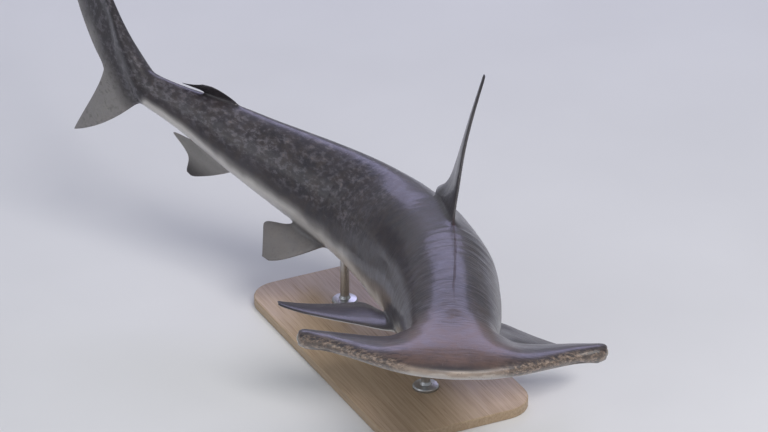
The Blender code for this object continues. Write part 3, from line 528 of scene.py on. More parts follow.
    D1S = [(27.3, .40, 35.95, .30), (27.85, 1.1, 37.3, .50), (28.4, 2.0, 38.2, .68), (28.8, 2.8, 37.2, 1.15), (29.7, 4.1, 36.2, 2.5),
           (30.9, 6.0, 35.8, 4.8), (32.2, 7.95, 35.5, 7.1), (33.6, 9.9, 35.85, 9.4), (34.8, 11.3, 36.5, 11.05),
           (35.65, 12.15, 36.9, 12.05), (36.3, 12.55, 37.05, 12.5)]
    fin("dorsal_fin_first", D1S, .0128, .0032, upright(1), pct(27.8), "dorsal_fin_first", lean=-.057, twist=-9.2, curl=2.4)
    PS = [(21.45, .55, 26.7, .45), (21.8, 1.3, 28.1, 1.15), (22.2, 2.1, 29.6, 1.95), (22.7, 2.95, 29.6, 2.85), (23.5, 4.4, 29.1, 4.3),
          (24.5, 6.1, 28.8, 6.0), (25.6, 7.7, 28.8, 7.6), (26.8, 9.05, 29.05, 9.0), (27.7, 9.85, 29.3, 9.85), (28.4, 10.3, 29.45, 10.3)]
    VS = [(47.55, .45, 52.3, .3), (48.0, 1.05, 53.6, .75), (48.5, 1.7, 54.5, 1.2), (49.1, 2.5, 53.9, 2.0), (50.0, 3.6, 53.0, 3.3),
          (50.8, 4.3, 52.4, 4.15), (51.35, 4.6, 52.15, 4.55)]
    for side, sgn, droop in (("left", 1, 12), ("right", -1, 7)):
        fin("pectoral_fin_" + side, PS, .0165, .003, sideways(11, droop, sgn, 23.7), pct(23.7), "pectoral_fin_" + side)
        fin("pelvic_fin_" + side, VS, .010, .0025, sideways(14, 46, sgn, 49.4), pct(49.4), "pelvic_fin_" + side)
    AS = [(60.3, .35, 65.5, .25), (60.8, .9, 66.9, .5), (61.3, 1.35, 67.9, .8), (61.8, 1.8, 66.6, 1.1), (62.5, 2.35, 65.0, 1.65),
          (63.1, 2.8, 64.8, 2.4), (63.6, 3.15, 64.7, 3.0), (64.0, 3.3, 64.55, 3.25)]
    fin("anal_fin", AS, .008, .0022, upright(-1), pct(62.6), "anal_fin")
    SS = [(62.5, .27, 66.2, .24), (63.0, .54, 67.6, .30), (63.6, .82, 68.8, .36), (64.1, 1.03, 67.7, .58), (64.7, 1.19, 66.7, .90), (65.2, 1.26, 66.15, 1.18)]
    fin("dorsal_fin_second", SS, .0075, .0022, upright(1), pct(64.1), "dorsal_fin_second", lean=.034, curl=1.35)
    return c


GILLS = (16.1, 17.25, 18.4, 19.5, 20.5)

FINE = {
    "wing": [.136, .160, .19, .22, .25, .275, .297, .314, .326, .336, .346, .358, .372, .385],
    "top": [0, .018, .06, .13, .23, .35, .49, .65, .82, 1.0],
    "low": [("rear", 0, .94), ("rear", .38, .87), ("rear", .76, .775), ("lip", .017, .70),
            ("lip", .0086, .655), ("lip", .0056, .615), ("lip", 0, .575), ("lip", -.0056, .535), ("lip", -.0086, .495),
            ("lip", -.017, .445), ("front", .74, .35), ("front", .46, .245), ("front", .20, .13),
            ("near", .0145, .0145), ("near", .0105, .0105), ("near", .0065, .0065)],
    "creases": True,
    "tips": SKIN_TIPS,
    "neck": [(.288, .376), (.333, .405), (.385, .432)],
    "gill": [(-.42, 0.0), (-.10, .0018), (-.015, .0015), (.045, -.0100), (.20, -.0012)],
    "runs": [("pectoral", [21.2, 21.9, 22.7, 23.6, 24.5, 25.4, 26.2]),
             ("dorsal", [26.6, 27.5, 28.5, 29.6, 30.8, 32.0, 33.1, 34.1, 34.9, 35.5]),
             (None, [37.2, 39.4, 41.9, 44.2, 46.0]),
             ("pelvic", [47.2, 47.9, 48.8, 49.8, 50.7, 51.6]),
             (None, [53.0, 55.2, 57.5]),
             ("anal", [59.9, 60.5, 61.3, 62.2, 63.1, 63.9, 64.6, 65.2]),
             (None, [65.9, 66.7, 67.9, 69.0]),
             (None, [70.0, 70.9, 71.6])],
    "second": (3, 1),
    "tail": [(.010, .05), (.022, .14), (.036, .27), (.052, .42), (.069, .57), (.087, .72), (.106, .86), (.122, .95), (.137, 1.0),
             (.153, 1.07), (.172, 1.20), (.195, 1.40), (.222, 1.62), (.252, 1.82), (.285, 2.0), (.320, 2.12), (.362, 2.27),
             (.410, 2.42), (.470, 2.60), (.540, 2.80), (.600, 2.94), (.630, 3.0), (.650, 3.25), (.672, 3.65),
             (.700, 4.0), (.735, 4.10), (.785, 4.25), (.855, 4.48), (.925, 4.72), (.980, 4.92)],
}
# ---------------------------------------------------------------- pose
# side bend towards the right flank and twist towards the left flank, degrees per metre
BEND = curve([0, 10, 15, 20, 24, 27, 30.5, 34, 38, 42, 50, 60, 66, 71, 77, 83, 100],
             [0, 0, 22, 6, 36.7, 30, 41.7, 63.9, 63.9, 142.2, 63.7, -25.6, 48.4, -120.2, -106, -11, 0])
TWIST = curve([0, 10, 15, 20, 27, 36, 50, 64, 76, 90, 100], [0, 0, 23, 19, 22.9, 4.2, 3.6, -6.4, -17, -4, 0])
NOSE_UP, HEAD_ROLL = 11.8, 2.9
# upward bend of the middle of the body, degrees per metre
ARCH = ((20, 28, 38, 50, 60), (10.5, -6.8, 28.6, .6, 10.5))


def spine(n=400):
    """Frames (point, left, back, up) down the bent body axis."""
    ds = TL / n
    a, r = math.radians(NOSE_UP), math.radians(HEAD_ROLL)
    P = np.zeros(3)
    T = np.array([0, math.cos(a), -math.sin(a)])
    L = np.array([1.0, 0, 0])
    U = np.cross(L, T)
    L, U = L * math.cos(r) - U * math.sin(r), U * math.cos(r) + L * math.sin(r)
    out = []
    for k in range(n + 1):
        s = 100.0 * k / n
        out.append((P, L, T, U))
        b, t = math.radians(BEND(s) * ds), math.radians(TWIST(s) * ds)
        a = math.radians(float(np.interp(s, *ARCH)) * ds) if 20 < s < 60 else 0.0
        T, L = T * math.cos(b) - L * math.sin(b), L * math.cos(b) + T * math.sin(b)
        T, U = T * math.cos(a) + U * math.sin(a), U * math.cos(a) - T * math.sin(a)
        L, U = L * math.cos(t) - U * math.sin(t), U * math.cos(t) + L * math.sin(t)
        P = P + T * ds
    return out


def frame_at(tab, y):
    n = len(tab) - 1
    t = min(max(y / TL, 0), 1) * n
    k = min(int(t), n - 1)
    w = t - k
    P, L, T, U = (tab[k][j] * (1 - w) + tab[k + 1][j] * w for j in range(4))
    return P + T * (y - min(max(y, 0), TL)), L, T, U


def pose(c):
    tab = spine()
    out = []
    for v, rig in zip(c.v, c.rig):
        P, L, T, U = frame_at(tab, v[1])
        p = P + L * v[0] + U * v[2]
        if rig and rig[1] > 0:
            P, L, T, U = frame_at(tab, rig[0])
            r = P + L * v[0] + U * v[2] + T * (v[1] - rig[0])
            p = p * (1 - rig[1]) + r * rig[1]
        out.append(p)
    return np.array(out)


# ---------------------------------------------------------------- placing
# the snout tip in the frame of the solids; the straight body's origin
NOSE = Vector((0.167, -0.989, 0.49))
FLESH = ("head", "trunk_front", "trunk_middle", "tail_stalk", "caudal_fin", "dorsal_fin_first", "dorsal_fin_second", "anal_fin",
         "pectoral_fin_left", "pectoral_fin_right", "pelvic_fin_left", "pelvic_fin_right")


def noise3(p, seed=0):
    """Smooth value noise, -1 to 1, at the rows of p."""
    p = np.asarray(p, float)
    base = np.floor(p).astype(np.int64)
    t = p - base
    t = t * t * (3 - 2 * t)
    out = np.zeros(len(p))
    for dx in (0, 1):
        for dy in (0, 1):
            for dz in (0, 1):
                q = base + (dx, dy, dz)
                h = (q[:, 0] * 73856093 ^ q[:, 1] * 19349663 ^ q[:, 2] * 83492791 ^ (seed * 2654435761)) & 0x7FFFFFFF
                h = ((h ^ (h >> 13)) * 1274126177) & 0x7FFFFFFF
                val = (h % 65537) / 32768.0 - 1
                w = (t[:, 0] if dx else 1 - t[:, 0]) * (t[:, 1] if dy else 1 - t[:, 1]) * (t[:, 2] if dz else 1 - t[:, 2])
                out += w * val
    return out


def step(x, a, b):
    """0 below a, 1 above b, smooth between, for arrays; a may be larger than b."""
    t = np.clip((x - a) / (b - a), 0, 1)
    return t * t * (3 - 2 * t)


def mesh_arrays(me):
    n = len(me.vertices)
    co = np.zeros(n * 3)
    me.vertices.foreach_get("co", co)
    return co.reshape(-1, 3)


def put(me, name, values):
    at = me.attributes.get(name) or me.attributes.new(name, "FLOAT", "POINT")
    at.data.foreach_set("value", np.asarray(values, np.float32))


def put_vec(me, name, values):
    at = me.attributes.get(name) or me.attributes.new(name, "FLOAT_VECTOR", "POINT")
    at.data.foreach_set("vector", np.asarray(values, np.float32).ravel())


def get_vec(me, name):
    v = np.zeros(len(me.vertices) * 3, np.float32)
    me.attributes[name].data.foreach_get("vector", v)
    return v.reshape(-1, 3).astype(float)


def get(me, name):
    v = np.zeros(len(me.vertices), np.float32)
    me.attributes[name].data.foreach_get("value", v)
    return v.astype(float)


def link(name, me):
    ob = bpy.data.objects.new(name, me)
    bpy.context.scene.collection.objects.link(ob)
    return ob


KINDS = ["trunk", "head", "caudal", "dorsal_fin_first", "dorsal_fin_second", "anal_fin", "pectoral_fin_left", "pectoral_fin_right",
         "pelvic_fin_left", "pelvic_fin_right"]


def make_skin():
    cage = build(FINE)
    used = sorted({a for f in cage.f for a in f})
    index = {a: n for n, a in enumerate(used)}
    rest = np.array([cage.v[a] for a in used])
    posed = pose(cage)[used] + np.array(NOSE)
    me = bpy.data.meshes.new("shark_skin")
    me.from_pydata([tuple(p) for p in posed], [], [[index[a] for a in f] for f in cage.f])
    put_vec(me, "rest", rest)
    # which part each point belongs to, as soft weights that subdivision blends
    for kind in KINDS[1:]:
        w = np.zeros(len(used))
        for f, t in zip(cage.f, cage.tag):
            if t == kind:
                for a in f:
                    w[index[a]] = 1
        put(me, "w_" + kind, w)
    out = np.zeros(len(used))
    for a, reach in cage.out.items():
        if a in index:
            out[index[a]] = reach
    put(me, "reach", out)
    for name, table in (("low", cage.low), ("groove", cage.groove)):
        val = np.zeros(len(used))
        for a, q in table.items():
            if a in index:
                val[index[a]] = q
        put(me, name, val)
    bm = bmesh.new()
    bm.from_mesh(me)
    bmesh.ops.recalc_face_normals(bm, faces=bm.faces[:])
    bm.to_mesh(me)
    bm.free()
    ob = link("shark_skin", me)
    sub = ob.modifiers.new("skin", "SUBSURF")
    sub.levels = sub.render_levels = 2
    sub.use_limit_surface = False
    dg = bpy.context.evaluated_depsgraph_get()
    fine = bpy.data.meshes.new_from_object(ob.evaluated_get(dg))
    bpy.data.objects.remove(ob)
    fine.name = "shark_skin"
    return fine


def shape_skin(me):
    """Small forms that the cage is too coarse for, along the surface normals."""
    co = mesh_arrays(me)
    rest = get_vec(me, "rest")
    nor = np.zeros(len(me.vertices) * 3)
    me.vertices.foreach_get("normal", nor)
    nor = nor.reshape(-1, 3)
    x, y, z = rest.T
    s = y / TL * 100
    ax = np.abs(x)
    fins = np.clip(sum(get(me, "w_" + k) for k in KINDS[3:]) + get(me, "w_caudal") * .8, 0, 1)
    body = 1 - fins
    d = np.zeros(len(x))
    # uneven flesh, a millimetre or so
    d += body * .0009 * noise3(rest * 9.0, 1) + body * .0005 * noise3(rest * 21.0, 2)
    # folds that gather on the inner side of the bend, low on the right flank
    fold = step(s, 33, 38) * (1 - step(s, 50, 56)) * step(-x, .03, .09) * body
    d += -fold * .0011 * np.maximum(0, np.sin(s * 2.9 + 1.6 * noise3(rest * 7, 3))) ** 3
    # shallow folds across the neck and shoulders, 40 to 50 mm apart
    wave = s * 4.1 + 1.1 * noise3(rest * (5, 12, 5), 4) + 2.0 * noise3(rest * (11, 3, 7), 5)
    neck = step(s, 7.5, 11) * (1 - step(s, 24, 33)) * step(z, .050, .125) * body * np.clip(.50 + .80 * noise3(rest * (9, 9, 9), 6), 0, 1)
    d += neck * .00066 * np.sin(wave)
    # the underside of the head: full lower jaw, a shallow crease in front of the upper lip
    jaw = np.interp(ax, np.linspace(0, .14, 60), np.array([mouth_y(v) for v in np.linspace(0, .14, 60)]))
    below = body * step(-z, .012, .030) * (1 - step(ax, .075, .115)) * step(s, 5.2, 6.2) * (1 - step(s, 11.5, 14))
    d += below * .0032 * np.exp(-((y - jaw - .032) / .017) ** 2) + below * .0014 * np.exp(-((y - jaw + .016) / .008) ** 2)
    d -= below * .0012 * np.exp(-((y - jaw + .030) / .0045) ** 2)
    # muscle blocks, faint chevrons along the flanks
    chev = step(s, 28, 36) * (1 - step(s, 66, 70)) * body * step(ax, .02, .06)
    d += chev * .00035 * np.sin((s + np.abs(z) / TL * 100 * 1.1) * 5.2)
    co += nor * d[:, None]
    me.vertices.foreach_set("co", co.ravel())
    me.update()


def paint_skin(me):
    """Masks for the material, from places on the straight body."""
    rest = get_vec(me, "rest")
    x, y, z = rest.T
    ax = np.abs(x)
    s = y / TL * 100
    w = {k: get(me, "w_" + k) for k in KINDS[1:]}
    reach = get(me, "reach")
    n1, n2, n3 = noise3(rest * 14, 11), noise3(rest * 38, 12), noise3(rest * 95, 13)

    # trunk: height of the point between belly (0) and back (1)
    tz = np.array([TOPZ(v) for v in np.linspace(8, 72, 200)])
    bz = np.array([BOTZ(v) for v in np.linspace(8, 72, 200)])
    g = np.linspace(8, 72, 200)
    top, bot = np.interp(s, g, tz) * TL / 100, np.interp(s, g, bz) * TL / 100
    h = (z - bot) / (top - bot)
    line = np.interp(s, [0, 10, 16, 24, 40, 55, 66, 72], [.28, .28, .26, .25, .23, .22, .26, .31])
    belly = 1 - step(h + .035 * n1 + .02 * n2, line - .12, line + .13)
    # head: the underside of the hammer, up to its front edge
    wing = w["head"]
    mid = np.array([WING_Z(v) for v in np.linspace(0, HALF_HEAD, 80)])
    midz = np.interp(ax, np.linspace(0, HALF_HEAD, 80), mid)
    under = 1 - step(z - midz + .004 * n2 + .003 * n3, -.006, .006)
    k = np.clip(wing, 0, 1) * (1 - step(s, 8.6, 11.5) * step(.2 - ax, 0, .05))
    belly = belly * (1 - k) + under * k
    # the fins: dark above, pale below with a dusky tip and rear edge
    nor = np.zeros(len(me.vertices) * 3)
    me.vertices.foreach_get("normal", nor)
    for side, sg in (("left", 1), ("right", -1)):
        f = w["pectoral_fin_" + side]
        low = get(me, "low") * sg
        pale = step(low, -.05, .25) * (1 - step(reach + .06 * n1, .52, .86) * .85)
        belly = belly * (1 - f) + pale * f
        f = w["pelvic_fin_" + side]
        pale = step(low, -.2, .3) * (1 - .5 * step(reach, .7, 1))
        belly = belly * (1 - f) + np.maximum(pale, .25) * f
    f = w["anal_fin"]
    belly = belly * (1 - f) + (.45 - .4 * step(reach, .3, .95)) * f
    for kind in ("dorsal_fin_first", "dorsal_fin_second"):
        belly = belly * (1 - w[kind])
    f = w["caudal"]
    low_front = step(-(z - .40 * (y - .72 * TL)) + .02 * n1, .03, .11)
    belly = belly * (1 - f) + .42 * low_front * f
    put(me, "belly", np.clip(belly, 0, 1))

    # dusky fin tips and rear edges
    dusk = np.zeros(len(x))
    for side in ("left", "right"):
        dusk = np.maximum(dusk, w["pectoral_fin_" + side] * step(reach + .05 * n2, .62, .98))
        dusk = np.maximum(dusk, w["pelvic_fin_" + side] * .5 * step(reach, .6, 1))
    for kind in ("dorsal_fin_first", "dorsal_fin_second", "anal_fin"):
        dusk = np.maximum(dusk, w[kind] * (.62 + .33 * step(reach + .06 * n2, .45, .95)))
    dusk = np.maximum(dusk, w["caudal"] * .55)
    put(me, "dusk", dusk)

    # thin dark line down the middle of the back, from behind the head to the first dorsal fin
    mid_line = step(s, 10.5, 15) * (1 - step(s, 27.2, 27.8)) * (h > .8)
    put(me, "mid_line", mid_line * np.clip(.80 + .35 * n2, 0, 1))

    # bronze brown cast on the middle of the head
    bronze = step(.235 - ax + .05 * n1 + .02 * n2, 0, .17) * step(s, .2, 1.3) * (1 - step(s + 1.6 * n1 + .5 * n2, 5.6, 12.5)) * (1 - under)
    put(me, "bronze", np.clip(bronze, 0, 1))

    # pale worn line on the front edge of the hammer
    le = np.interp(ax, np.linspace(0, HALF_HEAD, 120), [LE_Y(v) for v in np.linspace(0, HALF_HEAD, 120)])
    edge = np.exp(-(np.maximum(0, y - le) / .010) ** 2) * step(z - midz, -.016, -.002) * (1 - step(z - midz, .006, .016)) * k
    put(me, "edge", np.clip(edge * (.85 + .5 * n2), 0, 1))
    # painted glints and painted shade: the band along the front of the wings where tan and pale patches with dark
    # blotches go
    front = np.exp(-(np.maximum(0, y - le - .004) / .030) ** 2) * k * step(ax, .10, .17) * (1 - step(z - midz, .012, .026))
    put(me, "front", np.clip(front, 0, 1))

    # sense pores, thick under the snout and along the front of the wings' underside
    pores = k * under * np.exp(-(np.maximum(0, y - le - .012) / .085) ** 2) * (.70 + .5 * n1)
    put(me, "pores", np.clip(pores, 0, 1))

    # pinkish rims of the mouth
    jaw = np.array([mouth_y(v) for v in np.linspace(0, .14, 60)])
    off = y - np.interp(ax, np.linspace(0, .14, 60), jaw)
    put(me, "lips", np.clip(k * under * np.exp(-(off / .013) ** 2) * (1 - step(ax, .088, .104)), 0, 1))

    # inside of gill slits, mouth and nostrils: the tissue's dark red-brown together with painted shade, deepest in the
    # recess
    put(me, "slit_tissue_and_shade", np.clip(get(me, "groove") + 0, 0, 1))

    # where the skin lies in fine cross folds: neck, shoulders and the roots of the wings; the mask drives the fold
    # bump, and in the colour the painted sheen stripes with painted shade between them
    ripple_bump_and_painted_sheen = step(s, 5.5, 9.5) * (1 - step(s + 1.5 * n1, 22, 31)) * step(h * (1 - k) + k, .56, .90) * (1 - step(ax, .20, .30))
    put(me, "ripple_bump_and_painted_sheen", np.clip(ripple_bump_and_painted_sheen * (1 - under * k) * (1 - belly) * (.70 + .45 * n1), 0, 1))
    put(me, "wings", np.clip(k * step(ax, .07, .16) * (1 - under), 0, 1))

    # painted glints and painted shade: uneven light and dark flecks from the first dorsal fin back to the tail
    fins = np.clip(sum(w[q] for q in KINDS[3:]), 0, 1)
    painted_glint_and_shade_spots = step(s + 2.5 * n1, 33, 47) * (1 - belly) * step(h * (1 - w["caudal"]) + .6 * w["caudal"], .34, .56) * (1 - .8 * fins)
    put(me, "painted_glint_and_shade_spots", np.clip(painted_glint_and_shade_spots * (.75 + .4 * n1), 0, 1))

    # lateral line
    lat = np.exp(-((h - .60) / .010) ** 2) * step(s, 20.6, 23) * (1 - step(s, 69, 71)) * (ax > .02) * (1 - np.clip(sum(w[q] for q in KINDS[3:]), 0, 1))
    put(me, "lateral", lat)


# ---------------------------------------------------------------- materials
def nodes_of(name):
    mat = bpy.data.materials.new(name)
    mat.use_nodes = True
    nt = mat.node_tree
    nt.nodes.clear()
    out = nt.nodes.new("ShaderNodeOutputMaterial")
    bsdf = nt.nodes.new("ShaderNodeBsdfPrincipled")
    nt.links.new(bsdf.outputs[0], out.inputs[0])
    return mat, nt, bsdf


class Net:
    """Short hands for building a node tree."""

    def __init__(self, nt):
        self.nt = nt

    def new(self, kind, **values):
        n = self.nt.nodes.new(kind)
        for k, v in values.items():
            setattr(n, k, v)
        return n

    def wire(self, a, b):
        self.nt.links.new(a, b)

    def feed(self, socket, value):
        if hasattr(value, "is_output"):
            self.wire(value, socket)
        else:
            socket.default_value = value

    def attr(self, name, vector=False):
        n = self.new("ShaderNodeAttribute", attribute_name=name)
        return n.outputs["Vector"] if vector else n.outputs["Fac"]

    def noise(self, where, scale, detail=3.0, rough=.55, stretch=None):
        n = self.new("ShaderNodeTexNoise")
        if stretch:
            m = self.new("ShaderNodeMapping")
            m.inputs["Scale"].default_value = stretch
            self.wire(where, m.inputs["Vector"])
            where = m.outputs[0]
        self.wire(where, n.inputs["Vector"])
        n.inputs["Scale"].default_value = scale
        n.inputs["Detail"].default_value = detail
        n.inputs["Roughness"].default_value = rough
        return n.outputs["Fac"]

    def cells(self, where, scale, feature="F1", out="Distance", randomness=1.0):
        n = self.new("ShaderNodeTexVoronoi", feature=feature)
        self.wire(where, n.inputs["Vector"])
        n.inputs["Scale"].default_value = scale
        n.inputs["Randomness"].default_value = randomness
        return n.outputs[out]

    def ramp(self, value, *stops):
        n = self.new("ShaderNodeValToRGB")
        el = n.color_ramp.elements
        while len(el) < len(stops):
            el.new(.5)
        for e, (pos, col) in zip(el, stops):
            e.position = pos
            e.color = (*col, 1) if hasattr(col, "__len__") else (col, col, col, 1)
        self.wire(value, n.inputs[0])
        return n.outputs[0]

    def math(self, op, a, b=None, clamp=False):
        n = self.new("ShaderNodeMath", operation=op, use_clamp=clamp)
        self.feed(n.inputs[0], a)
        if b is not None:
            self.feed(n.inputs[1], b)
        return n.outputs[0]

    def mix(self, fac, a, b, blend="MIX"):
        n = self.new("ShaderNodeMix", data_type="RGBA", blend_type=blend)
        self.feed(n.inputs["Factor"], fac)
        for sock, v in (("A", a), ("B", b)):
            s = [q for q in n.inputs if q.name == sock and q.type == "RGBA"][0]
            self.feed(s, (*v, 1) if isinstance(v, tuple) and len(v) == 3 else v)
        return [q for q in n.outputs if q.type == "RGBA"][0]

    def bump(self, height, strength, distance, below=None):
        n = self.new("ShaderNodeBump")
        n.inputs["Strength"].default_value = strength
        n.inputs["Distance"].default_value = distance
        self.wire(height, n.inputs["Height"])
        if below is not None:
            self.wire(below, n.inputs["Normal"])
        return n.outputs[0]


def skin_material():
    mat, nt, bsdf = nodes_of("shark_skin")
    n = Net(nt)
    rest = n.attr("rest", True)
    big = n.noise(rest, 5.5, 4.0, .6)
    mid = n.noise(rest, 30.0, 4.0, .6)
    fine = n.noise(rest, 150.0, 3.0, .6)
    grain = n.cells(rest, 620.0)
    # transverse ripples of the skin, close together across the neck and shoulders; the same noise places the painted
    # sheen stripes and the painted shade between them
    across = n.noise(rest, 92.0, 2.0, .5, stretch=(.24, 1.0, .32))

    # dark back: brown grey with a purple tinge, unevenly mottled
    back = n.ramp(big, (.30, BACK_DARK), (.50, BACK), (.70, BACK_LIGHT))
    back = n.mix(n.ramp(mid, (.40, 0.0), (.70, .60)), back, BACK_WARM)
    back = n.mix(n.math("MULTIPLY", n.attr("bronze"), n.ramp(mid, (.25, .45), (.75, 1.0))), back, BRONZE)
    back = n.mix(n.attr("dusk"), back, FIN_DARK)
    flank = n.ramp(n.attr("belly"), (.0, 0.0), (.35, .30), (.8, 1.0))
    pale = n.mix(n.ramp(fine, (.3, 0.0), (.7, .5)), BELLY, BELLY_WARM)
    pale = n.mix(n.ramp(big, (.35, .55), (.60, 0.0)), pale, (.49, .46, .455))
    pale = n.mix(n.math("MULTIPLY", n.attr("lips"), n.ramp(mid, (.30, .45), (.70, .85))), pale, (.50, .36, .33))
    colour = n.mix(flank, back, pale)
    colour = n.mix(n.math("MULTIPLY", n.attr("edge"), .75), colour, EDGE)
    # painted sheen: fine lilac stripes across the neck, with painted shade between them; short brown streaks along the
    # wings
    painted_sheen_stripes = n.math("MULTIPLY", n.ramp(across, (.53, 0.0), (.62, .55)), n.attr("ripple_bump_and_painted_sheen"))
    colour = n.mix(painted_sheen_stripes, colour, (.090, .078, .099))
    # painted shade in the troughs between the lilac stripes
    painted_shade_between_stripes = n.math("MULTIPLY", n.ramp(across, (.36, .60), (.45, 0.0)), n.attr("ripple_bump_and_painted_sheen"))
    colour = n.mix(painted_shade_between_stripes, colour, (.030, .024, .030))
    streak = n.noise(rest, 105.0, 4.0, .62, stretch=(.28, 1.0, 1.0))
    colour = n.mix(n.math("MULTIPLY", n.ramp(streak, (.36, .75), (.50, 0.0)), n.attr("wings")), colour, (.030, .020, .020))
    colour = n.mix(n.math("MULTIPLY", n.ramp(streak, (.54, 0.0), (.68, .50)), n.attr("wings")), colour, (.135, .095, .095))
    # painted glints on the front of the wings: tan and pale patches, broken by small dark blotches of painted shade
    glint_noise = n.noise(rest, 115.0, 5.0, .70, stretch=(.60, 1.0, 1.0))
    colour = n.mix(n.math("MULTIPLY", n.attr("front"), .70), colour, n.ramp(glint_noise, (.40, BACK_DARK), (.47, BACK_WARM), (.54, TAN_GLINT), (.64, (.39, .30, .24))))
    # painted glints and painted shade: light and dark flecks of the hind body
    glint_spot_noise = n.noise(rest, 68.0, 4.0, .66, stretch=(.9, .62, 1.0))
    colour = n.mix(n.math("MULTIPLY", n.ramp(glint_spot_noise, (.37, .62), (.47, 0.0)), n.attr("painted_glint_and_shade_spots")), colour, (.021, .017, .020))
    colour = n.mix(n.math("MULTIPLY", n.ramp(glint_spot_noise, (.50, 0.0), (.60, .55)), n.attr("painted_glint_and_shade_spots")), colour, (.172, .158, .182))
    colour = n.mix(n.math("MULTIPLY", n.ramp(glint_spot_noise, (.64, 0.0), (.70, .40)), n.attr("painted_glint_and_shade_spots")), colour, (.260, .205, .170))
    # tiny dark and pale points, and a few old scratches
    dark_side = n.ramp(n.attr("belly"), (.10, 1.0), (.60, 0.0))
    colour = n.mix(n.math("MULTIPLY", n.ramp(fine, (.60, 0.0), (.72, .35)), dark_side), colour, (.024, .021, .024))
    colour = n.mix(n.math("MULTIPLY", n.ramp(n.noise(rest, 210.0, 2.0, .5), (.66, 0.0), (.74, .22)), dark_side), colour, (.19, .18, .18))
    pores = n.math("MULTIPLY", n.ramp(n.cells(rest, 150.0), (.13, .85), (.20, 0.0)), n.attr("pores"))
    colour = n.mix(pores, colour, (.15, .110, .100))
    scratch = n.noise(rest, 26.0, 2.0, .5, stretch=(5.0, .55, 5.0))
    colour = n.mix(n.ramp(scratch, (.705, 0.0), (.725, .26), (.745, 0.0)), colour, (.24, .22, .21))
    sides = n.new("ShaderNodeSeparateXYZ")
    n.wire(rest, sides.inputs[0])
    wander = n.math("MULTIPLY", n.math("SUBTRACT", n.noise(rest, 9.0, 2.0, .5), .5), .010)
    thin = n.ramp(n.math("ABSOLUTE", n.math("ADD", sides.outputs["X"], wander)), (.0012, 1.0), (.0038, 0.0))
    seam = n.math("MULTIPLY", n.attr("mid_line"), thin)
    colour = n.mix(n.math("MULTIPLY", seam, .85, clamp=True), colour, (.034, .010, .009))
    colour = n.mix(n.math("MULTIPLY", n.attr("lateral"), .10), colour, (.20, .19, .19))
    # dark red-brown inside the slits, mouth and nostrils, partly the tissue's tint and partly painted shade
    colour = n.mix(n.attr("slit_tissue_and_shade"), colour, (.046, .018, .017))
    n.wire(colour, bsdf.inputs["Base Color"])

    n.wire(n.math("ADD", n.ramp(mid, (.30, .31), (.70, .43)), n.math("MULTIPLY", seam, .40), clamp=True), bsdf.inputs["Roughness"])
    bsdf.inputs["Coat Weight"].default_value = .42
    bsdf.inputs["IOR"].default_value = 1.42
    bsdf.inputs["Coat Roughness"].default_value = .15
    bsdf.inputs["Coat IOR"].default_value = 1.34
    bsdf.inputs["Subsurface Weight"].default_value = .04
    bsdf.inputs["Subsurface Radius"].default_value = (.012, .007, .006)
    bsdf.inputs["Subsurface Scale"].default_value = 1.0
    b = n.bump(mid, .25, .0016)
    b = n.bump(across, .45, .0018, b)
    b = n.bump(n.math("MULTIPLY", across, n.attr("ripple_bump_and_painted_sheen")), .60, .0022, b)
    b = n.bump(fine, .20, .0006, b)
    b = n.bump(grain, .22, .0003, b)
    b = n.bump(n.math("SUBTRACT", 1.0, seam), 1.0, .0030, b)
    n.wire(b, bsdf.inputs["Normal"])
    return mat


BACK = (.041, .036, .043)
BACK_DARK = (.026, .024, .031)
BACK_LIGHT = (.058, .052, .061)
BACK_WARM = (.062, .048, .044)
BRONZE = (.122, .071, .054)
FIN_DARK = (.026, .022, .025)
BELLY = (.60, .58, .55)
BELLY_WARM = (.53, .49, .45)
EDGE = (.46, .37, .30)
# tan of the painted glints on the front of the wings
TAN_GLINT = (.205, .148, .112)


def eye_material():
    mat, nt, bsdf = nodes_of("shark_eye")
    n = Net(nt)
    off = n.attr("iris")           # 0 at the middle of the pupil, 1 at the rim of the iris
    spokes = n.noise(n.attr("polar", True), 9.0, 3.0, .6, stretch=(6.0, .8, 1.0))
    iris = n.ramp(spokes, (.30, (.10, .085, .060)), (.55, (.30, .27, .20)), (.75, (.46, .43, .36)))
    colour = n.mix(n.ramp(off, (.42, 0.0), (.46, 1.0)), (.004, .004, .005), iris)
    colour = n.mix(n.ramp(off, (.90, 0.0), (1.0, 1.0)), colour, (.020, .017, .017))
    n.wire(colour, bsdf.inputs["Base Color"])
    bsdf.inputs["Roughness"].default_value = .12
    bsdf.inputs["Coat Weight"].default_value = 1.0
    bsdf.inputs["Coat Roughness"].default_value = .02
    bsdf.inputs["Specular IOR Level"].default_value = .5
    return mat


def tooth_material():
    mat, nt, bsdf = nodes_of("shark_tooth")
    n = Net(nt)
    co = n.new("ShaderNodeTexCoord").outputs["Object"]
    colour = n.ramp(n.noise(co, 300.0, 2.0, .5), (.3, (.70, .66, .56)), (.7, (.82, .80, .74)))
    n.wire(colour, bsdf.inputs["Base Color"])
    bsdf.inputs["Roughness"].default_value = .22
    return mat


